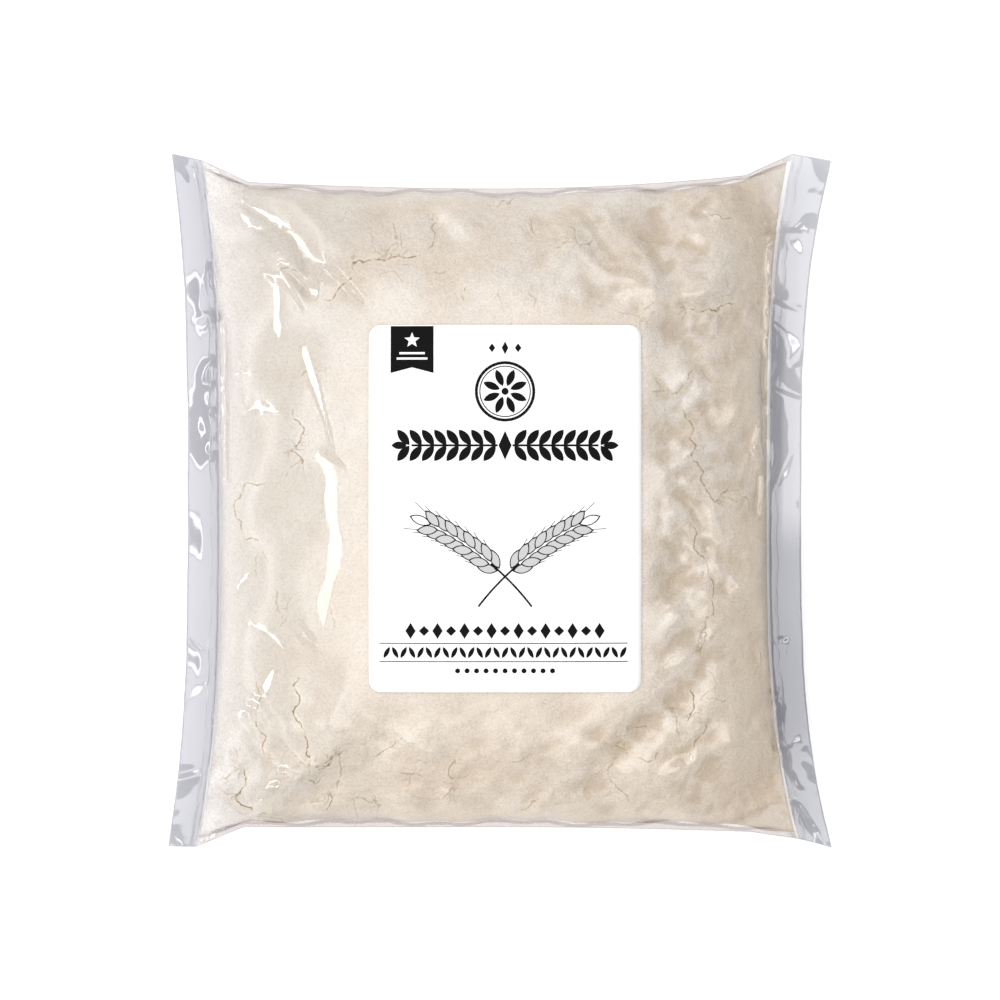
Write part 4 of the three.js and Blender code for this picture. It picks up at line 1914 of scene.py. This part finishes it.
    def painted_fin_shade(self, grid: FilmGrid) -> Array:
        """Return the right fin's painted shade, as grey: more in its lower half, and beside the flour.

        Args:
            grid: The relaxed grid.

        Returns:
            The share of the fin's full tint at each point.
        """
        y = grid.home[..., 1]
        grey = np.full(y.shape, self.grey_least)
        for share, start, end in self.grey_steps:
            grey += share * smoothstep(-y, start, end)
        beside = 1 - smoothstep(grid.reach, *self.grey_beside_reach)
        beside *= smoothstep(y, *self.grey_beside_bottom) * (1 - smoothstep(y, *self.grey_beside_top))
        return grey + self.grey_beside_flour * beside

    def build(self, grid: FilmGrid) -> Object:
        """Build the film as one closed skin round the flour, with flat double fins.

        Args:
            grid: The relaxed grid.

        Returns:
            The dressed piece.
        """
        half = np.array([0, 0, self.thickness / 2])
        film = closed_sheet("film", grid.sheets[0] + half, grid.sheets[1] - half)
        stand = smoothstep(np.abs(grid.sheets[0, ..., 2] - grid.body[0]), *self.stand_heights)
        free = np.maximum(stand, smoothstep(grid.flat, 0, self.flat_free))
        pressed = np.where(grid.sealed, 0, 1 - free)
        rows = grid.reach.shape[0]
        left = np.zeros(grid.reach.shape)
        left[: rows // 2] = grid.sealed[: rows // 2]
        # the right fin's tint carries painted shade
        right = (grid.sealed - left) * self.painted_fin_shade(grid)
        inside = np.linspace(0, self.tube_length, rows)[:, None] * np.ones(grid.reach.shape)
        beyond_seal = self.fin_length - np.minimum(inside, self.tube_length - inside)
        inner = np.abs(self.inner_across(grid.home[..., 0], grid.across))
        lip = np.where(grid.sealed, 0, smoothstep(inner, self.lip_start, 1))
        for name, values in (
            ("seal_mm", beyond_seal),
            ("left_fin", left),
            ("right_fin", right),
            ("folded_lip", lip),
            ("on_flour", pressed * (1 - lip)),
        ):
            store(film, name, sheet_values(values, values))
        film.data.materials.append(PolyethyleneFilm().build())
        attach(film, BODY)
        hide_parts("bag")
        return film


@dataclass(frozen=True)
class Crack:
    """A crack in the flour's upper face: its line, and how open it is from 0 to 1."""

    line: tuple[Point, ...]
    opening: float


CRACKS = (
    Crack(((-62, 68), (-54, 73), (-52, 74), (-43, 82), (-39, 81), (-34, 83), (-25, 85)), 0.8),
    Crack(((-25, 85), (-22, 91), (-26, 98)), 0.5),
    Crack(((-70, 32), (-71, 17), (-67, 14), (-66, 8)), 0.8),
    Crack(((-79, 7), (-82, -17)), 0.6),
    Crack(
        ((-68, -58), (-68, -68), (-66, -81), (-66, -87), (-64, -91), (-59, -91), (-54, -86), (-51, -83)),
        0.9,
    ),
    Crack(((-84, -73), (-80, -81), (-81, -88)), 0.8),
    Crack(((-89, -92), (-90, -102), (-85, -109)), 1.0),
    Crack(((-66, -95), (-63, -98)), 0.8),
    Crack(((-58, -100), (-60, -107)), 0.7),
    Crack(((-44, -101), (-40, -105)), 0.7),
    Crack(((61, 34), (66, 24), (64, 15), (68, 7), (73, -1), (80, 8)), 0.6),
    Crack(((51, 36), (61, 36)), 0.5),
    Crack(((81, 68), (68, 64), (64, 66)), 0.8),
    Crack(((54, 68), (47, 52)), 0.4),
    Crack(((66, -5), (66, -17), (72, -27), (73, -37), (70, -44), (67, -56)), 0.6),
    Crack(((65, -64), (66, -69), (63, -76)), 1.0),
    Crack(((68, -69), (74, -64)), 0.5),
    Crack(((39, -83), (45, -88)), 0.7),
    Crack(((37, -95), (45, -104)), 0.6),
    Crack(((23, 93), (27, 85)), 0.4),
    Crack(((-15, -97), (-20, -103)), 0.5),
    Crack(((13, -102), (7, -107)), 0.5),
)


@dataclass(frozen=True)
class FlourFill:
    """A kilogram of settled flour that fills the film, with hairline cracks in its upper face.

    A set of its folds is their size, their depth and their direction, and a set of its hollows, which
    get painted shade, is how far it looks about, how deep a hollow is full, and its share.
    """

    film: FilmEnvelope
    rows: int = 228
    columns: int = 216
    skin_gap: float = 0.35
    least_gap: float = 0.2
    smoothing: int = 5
    refining: int = 2
    left_gap: float = 0.6
    right_gap: float = 1.2
    groove_depth: float = 0.4
    groove_width: float = 1.1
    groove_lip_place: float = 1.5
    groove_lip: float = 0.5
    crack_reach: float = 3.0
    crack_fade: float = 0.6
    crack_taper: float = 0.12
    jag: float = 0.17
    jag_step: float = 1.6
    hairlines: int = 34
    branches: int = 40
    hairline_area: Point = (90.0, 105.0)
    hairline_length: float = 13.0
    hairline_shares: Point = (0.4, 1.2)
    hairline_openings: Point = (0.22, 0.55)
    hairline_bend: float = 0.5
    hairline_steps: int = 3
    label_margin: float = 4.0
    relief: Triples = (
        (12.0, 2.2, -50.0),
        (9.0, 1.9, 38.0),
        (6.0, 1.2, -32.0),
        (4.0, 0.9, 62.0),
        (2.8, 0.6, 12.0),
    )
    relief_right: Point = (-10.0, 60.0)
    relief_low: Point = (50.0, 100.0)
    relief_low_share: float = 0.8
    relief_elsewhere: float = 0.3
    relief_under_label: float = 0.2
    label_calm: float = 10.0
    ear_gap: float = 1.8
    ear_gap_power: int = 8
    ear_gap_reach: Point = (0.45, 0.95)
    # where shade is painted: the hollows' reaches, depths and shares, where it is strongest, and the strip
    # by the right seal
    hollow_reaches: tuple[tuple[int, float, float], ...] = ((40, 0.8, 0.6), (7, 0.22, 0.7))
    hollow_right: Point = (-20.0, 50.0)
    hollow_elsewhere: float = 0.25
    shaded_strip: Point = (66.0, 90.0)
    seed: int = 23

    def build(self, grid: FilmGrid) -> Object:
        """Build the flour against the inside of the relaxed film.

        Args:
            grid: The film's relaxed grid.

        Returns:
            The dressed piece.
        """
        i, j = self.film_places(grid)
        close = sampled(grid.sheets, i, j)
        skins = blurred(sampled(blurred(grid.settled, self.smoothing), i, j), self.refining)
        for face in Face:
            skin = skins[face.value]
            skin -= face.outward * self.skin_gap * sheet_normals(skin)
            limit = close[face.value, ..., 2] - face.outward * self.least_gap
            nearer = np.minimum if face is Face.UPPER else np.maximum
            skin[..., 2] = nearer(skin[..., 2], limit)
        depth = self.powder_relief(skins[0, ..., 0], skins[0, ..., 1])
        skins[0, ..., 2] -= depth
        distance, opening = self.crack_field(skins[0, ..., 0], skins[0, ..., 1])
        groove = np.exp(-((distance / self.groove_width) ** 2))
        from_lip = distance - self.groove_lip_place * self.groove_width
        raised = np.exp(-((from_lip / self.groove_width) ** 2))
        skins[0, ..., 2] -= self.groove_depth * opening * (groove - self.groove_lip * raised)
        middle = skins[..., 2].mean(0)
        skins[0, ..., 2] = np.maximum(skins[0, ..., 2], middle + self.least_gap)
        skins[1, ..., 2] = np.minimum(skins[1, ..., 2], middle - self.least_gap)
        skins[..., 2] = np.maximum(skins[..., 2], 2 * self.least_gap)
        hollow = self.hollows(skins[0])
        flour = closed_sheet("flour", skins[0], skins[1])
        none = np.zeros(opening.shape)
        store(flour, "crack_mm", sheet_values(distance, none + self.crack_reach))
        store(flour, "crack_strength", sheet_values(opening, none))
        store(flour, "hollow", sheet_values(hollow, none))
        flour.data.materials.append(WheatFlour().build())
        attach(flour, BODY)
        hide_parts("bag")
        return flour

    def hollows(self, skin: Array) -> Array:
        """Find where shade is painted: the upper face's hollows, broad and fine, and a strip at the right
        seal.

        Args:
            skin: The upper face's points.

        Returns:
            One value for each point, from 0 to about 1.
        """
        height = skin[None, ..., 2:]
        hollow = np.zeros(skin.shape[:2])
        for reach, depth, share in self.hollow_reaches:
            below = (blurred(height, reach) - height)[0, ..., 0]
            hollow += share * smoothstep(below, 0, depth)
        x = skin[..., 0]
        share = self.hollow_elsewhere + (1 - self.hollow_elsewhere) * smoothstep(x, *self.hollow_right)
        return np.maximum(hollow * share, smoothstep(x, *self.shaded_strip))

    def powder_relief(self, x: Array, y: Array) -> Array:
        """Return how far the flour lies below the film: creases and crumbs, most on the right.

        Args:
            x: The points' X.
            y: Their Y.

        Returns:
            The depth at each point.
        """
        random = np.random.default_rng(self.seed)
        low = self.relief_low_share * smoothstep(-y, *self.relief_low)
        share = np.maximum(smoothstep(x, *self.relief_right), low)
        depth = np.zeros(x.shape)
        for size, height, angle in self.relief:
            depth += height * fold_field(random, x, y, size, angle)
        clear = smoothstep(self.film.label.beyond(x, y), 0, self.label_calm)
        elsewhere, under_label = self.relief_elsewhere, self.relief_under_label
        depth *= elsewhere + (1 - elsewhere) * share
        return depth * (under_label + (1 - under_label) * clear)

    def film_places(self, grid: FilmGrid) -> tuple[Array, Array]:
        """Find where on the film's grid each of the flour's points lies.

        Args:
            grid: The film's grid.

        Returns:
            The row and column of each point, in fractions.
        """
        rows, columns = grid.reach.shape
        film = self.film
        first = film.fin_length + self.left_gap
        last = film.tube_length - film.fin_length - self.right_gap
        i = np.linspace(first, last, self.rows) / film.tube_length * (rows - 1)
        v = np.linspace(-1, 1, self.columns)
        inward = np.linspace(0, 1, self.rows)[:, None] ** self.ear_gap_power * self.ear_gap
        inward = inward * smoothstep(v, *self.ear_gap_reach)[None, :]
        x = np.interp(i, np.arange(rows), grid.home[:, columns // 2, 0])
        edge = 1 - film.lip(x) / (film.form.width / 2)
        reach = np.interp(edge, grid.across[0], np.linspace(-1, 1, columns))
        j = (1 + reach[:, None] * v[None, :]) / 2 * (columns - 1)
        return i[:, None] - inward / film.tube_length * (rows - 1), j

    def crack_field(self, x: Array, y: Array) -> tuple[Array, Array]:
        """Measure the distance to the nearest crack, and how open the crack is there.

        Args:
            x: The points' X.
            y: Their Y.

        Returns:
            Signed distances, and openings that fade away from the cracks.
        """
        random = np.random.default_rng(self.seed)
        nearest = np.full(x.shape, self.crack_reach)
        opening = np.zeros(x.shape)
        for crack in (*CRACKS, *self.random_hairlines(random)):
            line = self.jagged(crack.line, random)
            low, high = np.min(line, 0) - self.crack_reach, np.max(line, 0) + self.crack_reach
            near = (x > low[0]) & (x < high[0]) & (y > low[1]) & (y < high[1])
            distance, share = line_distance(x[near], y[near], line)
            taper = smoothstep(np.minimum(share, 1 - share), 0, self.crack_taper)
            fading = self.crack_fade * self.crack_reach
            fade = 1 - smoothstep(np.abs(distance), fading, self.crack_reach)
            closer = np.abs(distance) < np.abs(nearest[near])
            nearest[near] = np.where(closer, distance, nearest[near])
            opening[near] = np.where(closer, crack.opening * taper * fade, opening[near])
        return nearest, opening

    def random_hairlines(self, random: np.random.Generator) -> list[Crack]:
        """Scatter fine short cracks over the face, clear of the label.

        Args:
            random: The seeded source of random numbers.

        Returns:
            The cracks.
        """
        cracks = []
        label, (right, top), steps = self.film.label, self.hairline_area, self.hairline_steps
        while len(cracks) < self.hairlines + self.branches:
            x, y = random.uniform(-right, right), random.uniform(-top, top)
            if len(cracks) < self.branches:
                parent = CRACKS[random.integers(len(CRACKS))].line
                x, y = parent[random.integers(len(parent))]
            heading = random.uniform(0, 2 * np.pi)
            length = self.hairline_length * random.uniform(*self.hairline_shares)
            opening = random.uniform(*self.hairline_openings)
            bends = random.normal(0, self.hairline_bend, steps)
            if label.beyond(np.array(x), np.array(y)) < self.label_margin:
                continue
            line = [(x, y)]
            for bend in bends:
                heading += bend
                x, y = x + length / steps * np.cos(heading), y + length / steps * np.sin(heading)
                line.append((x, y))
            cracks.append(Crack(tuple(line), opening))
        return cracks

    def jagged(self, line: tuple[Point, ...], random: np.random.Generator) -> list[Point]:
        """Break a line into ever shorter crooked steps.

        Args:
            line: The line's corners.
            random: The seeded source of random numbers.

        Returns:
            The crooked line's corners.
        """
        points = [np.array(point, float) for point in line]
        while max(np.linalg.norm(b - a) for a, b in zip(points, points[1:])) > self.jag_step:
            broken = [points[0]]
            for a, b in zip(points, points[1:]):
                step = b - a
                shift = random.normal(0, self.jag)
                if np.linalg.norm(step) > self.jag_step:
                    broken.append((a + b) / 2 + shift * np.array([-step[1], step[0]]))
                broken.append(b)
            points = broken
        return [tuple(point) for point in points]


# The studio


@dataclass(frozen=True)
class Softbox:
    """A rectangular diffused light that faces the bag's long axis, in metres.

    Its brightness is a radiance, and its first size lies along the bag's Y.
    """

    name: str
    place: tuple[float, float, float]
    size: Point
    brightness: float

    def build(self) -> None:
        """Add the light, turned to the bag about an axis along Y."""
        light = bpy.data.lights.new(self.name, "AREA")
        light.shape = "RECTANGLE"
        light.size, light.size_y = self.size
        light.energy = self.brightness * math.pi * self.size[0] * self.size[1]
        lamp = bpy.data.objects.new(self.name, light)
        lamp.location = self.place
        inward = Vector((-self.place[0], 0, -self.place[2]))
        lamp.rotation_euler = inward.to_track_quat("-Z", "Y").to_euler()
        bpy.context.scene.collection.objects.link(lamp)


@dataclass(frozen=True)
class Studio:
    """A white sweep under soft light from the left, with the camera straight above the bag."""

    camera_height: float = 1.2665
    seam_height: float = 0.0165
    frame_width: float = 0.346
    sensor: float = 36.0
    world_light: float = 0.46
    sweep_size: float = 6.0
    sweep_drop: float = 0.0006
    softboxes: tuple[Softbox, ...] = (
        Softbox("strip_softbox_left", (-0.63, 0.1, 1.15), (2.0, 0.11), 5.6),
        Softbox("wide_softbox_overhead", (0.1, 0.1, 1.95), (1.9, 1.9), 2.3),
        Softbox("low_strip_softbox_left", (-1.47, 0.1, 0.67), (5.0, 0.1), 10.5),
    )

    def build(self) -> None:
        """Build the sweep, the lights, the world and the camera."""
        self.build_sweep()
        for softbox in self.softboxes:
            softbox.build()
        scene = bpy.context.scene
        scene.view_settings.view_transform = "Standard"
        world = bpy.data.worlds.new("white_room")
        world.use_nodes = True
        background = world.node_tree.nodes["Background"]
        background.inputs["Color"].default_value = linear("#FFFFFF")
        background.inputs["Strength"].default_value = self.world_light
        scene.world = world
        camera = bpy.data.cameras.new("camera")
        camera.sensor_width = self.sensor
        camera.lens = self.sensor * (self.camera_height - self.seam_height) / self.frame_width
        viewer = bpy.data.objects.new("camera", camera)
        viewer.location = (0, 0, self.camera_height)
        scene.collection.objects.link(viewer)
        scene.camera = viewer

    def build_sweep(self) -> None:
        """Lay the white paper sweep under the bag."""
        edge = self.sweep_size / 2 / MM
        drop = -self.sweep_drop / MM
        corners = np.array([(x * edge, y * edge, drop) for x, y in ((-1, -1), (1, -1), (1, 1), (-1, 1))])
        sweep = mesh_object("sweep", corners, [(0, 1, 2, 3)])
        sweep.data.materials.append(PaleSweep().build())


def main() -> None:
    """Build the bag's pieces and the studio."""
    logging.basicConfig(level=logging.INFO, format="%(name)s: %(message)s")
    form = PillowForm.from_frame()
    label = LabelSheet(form)
    envelope = FilmEnvelope(form, label)
    grid = envelope.relaxed()
    envelope.pressed_under_label(grid)
    envelope.raise_folds(grid)
    pieces = [FlourFill(envelope).build(grid), envelope.build(grid), *label.build()]
    for piece in pieces:
        LOG.info("%s: %d faces", piece.name, len(piece.data.polygons))
    Studio().build()
    bpy.context.view_layer.update()


if __name__ == "__main__":
    main()
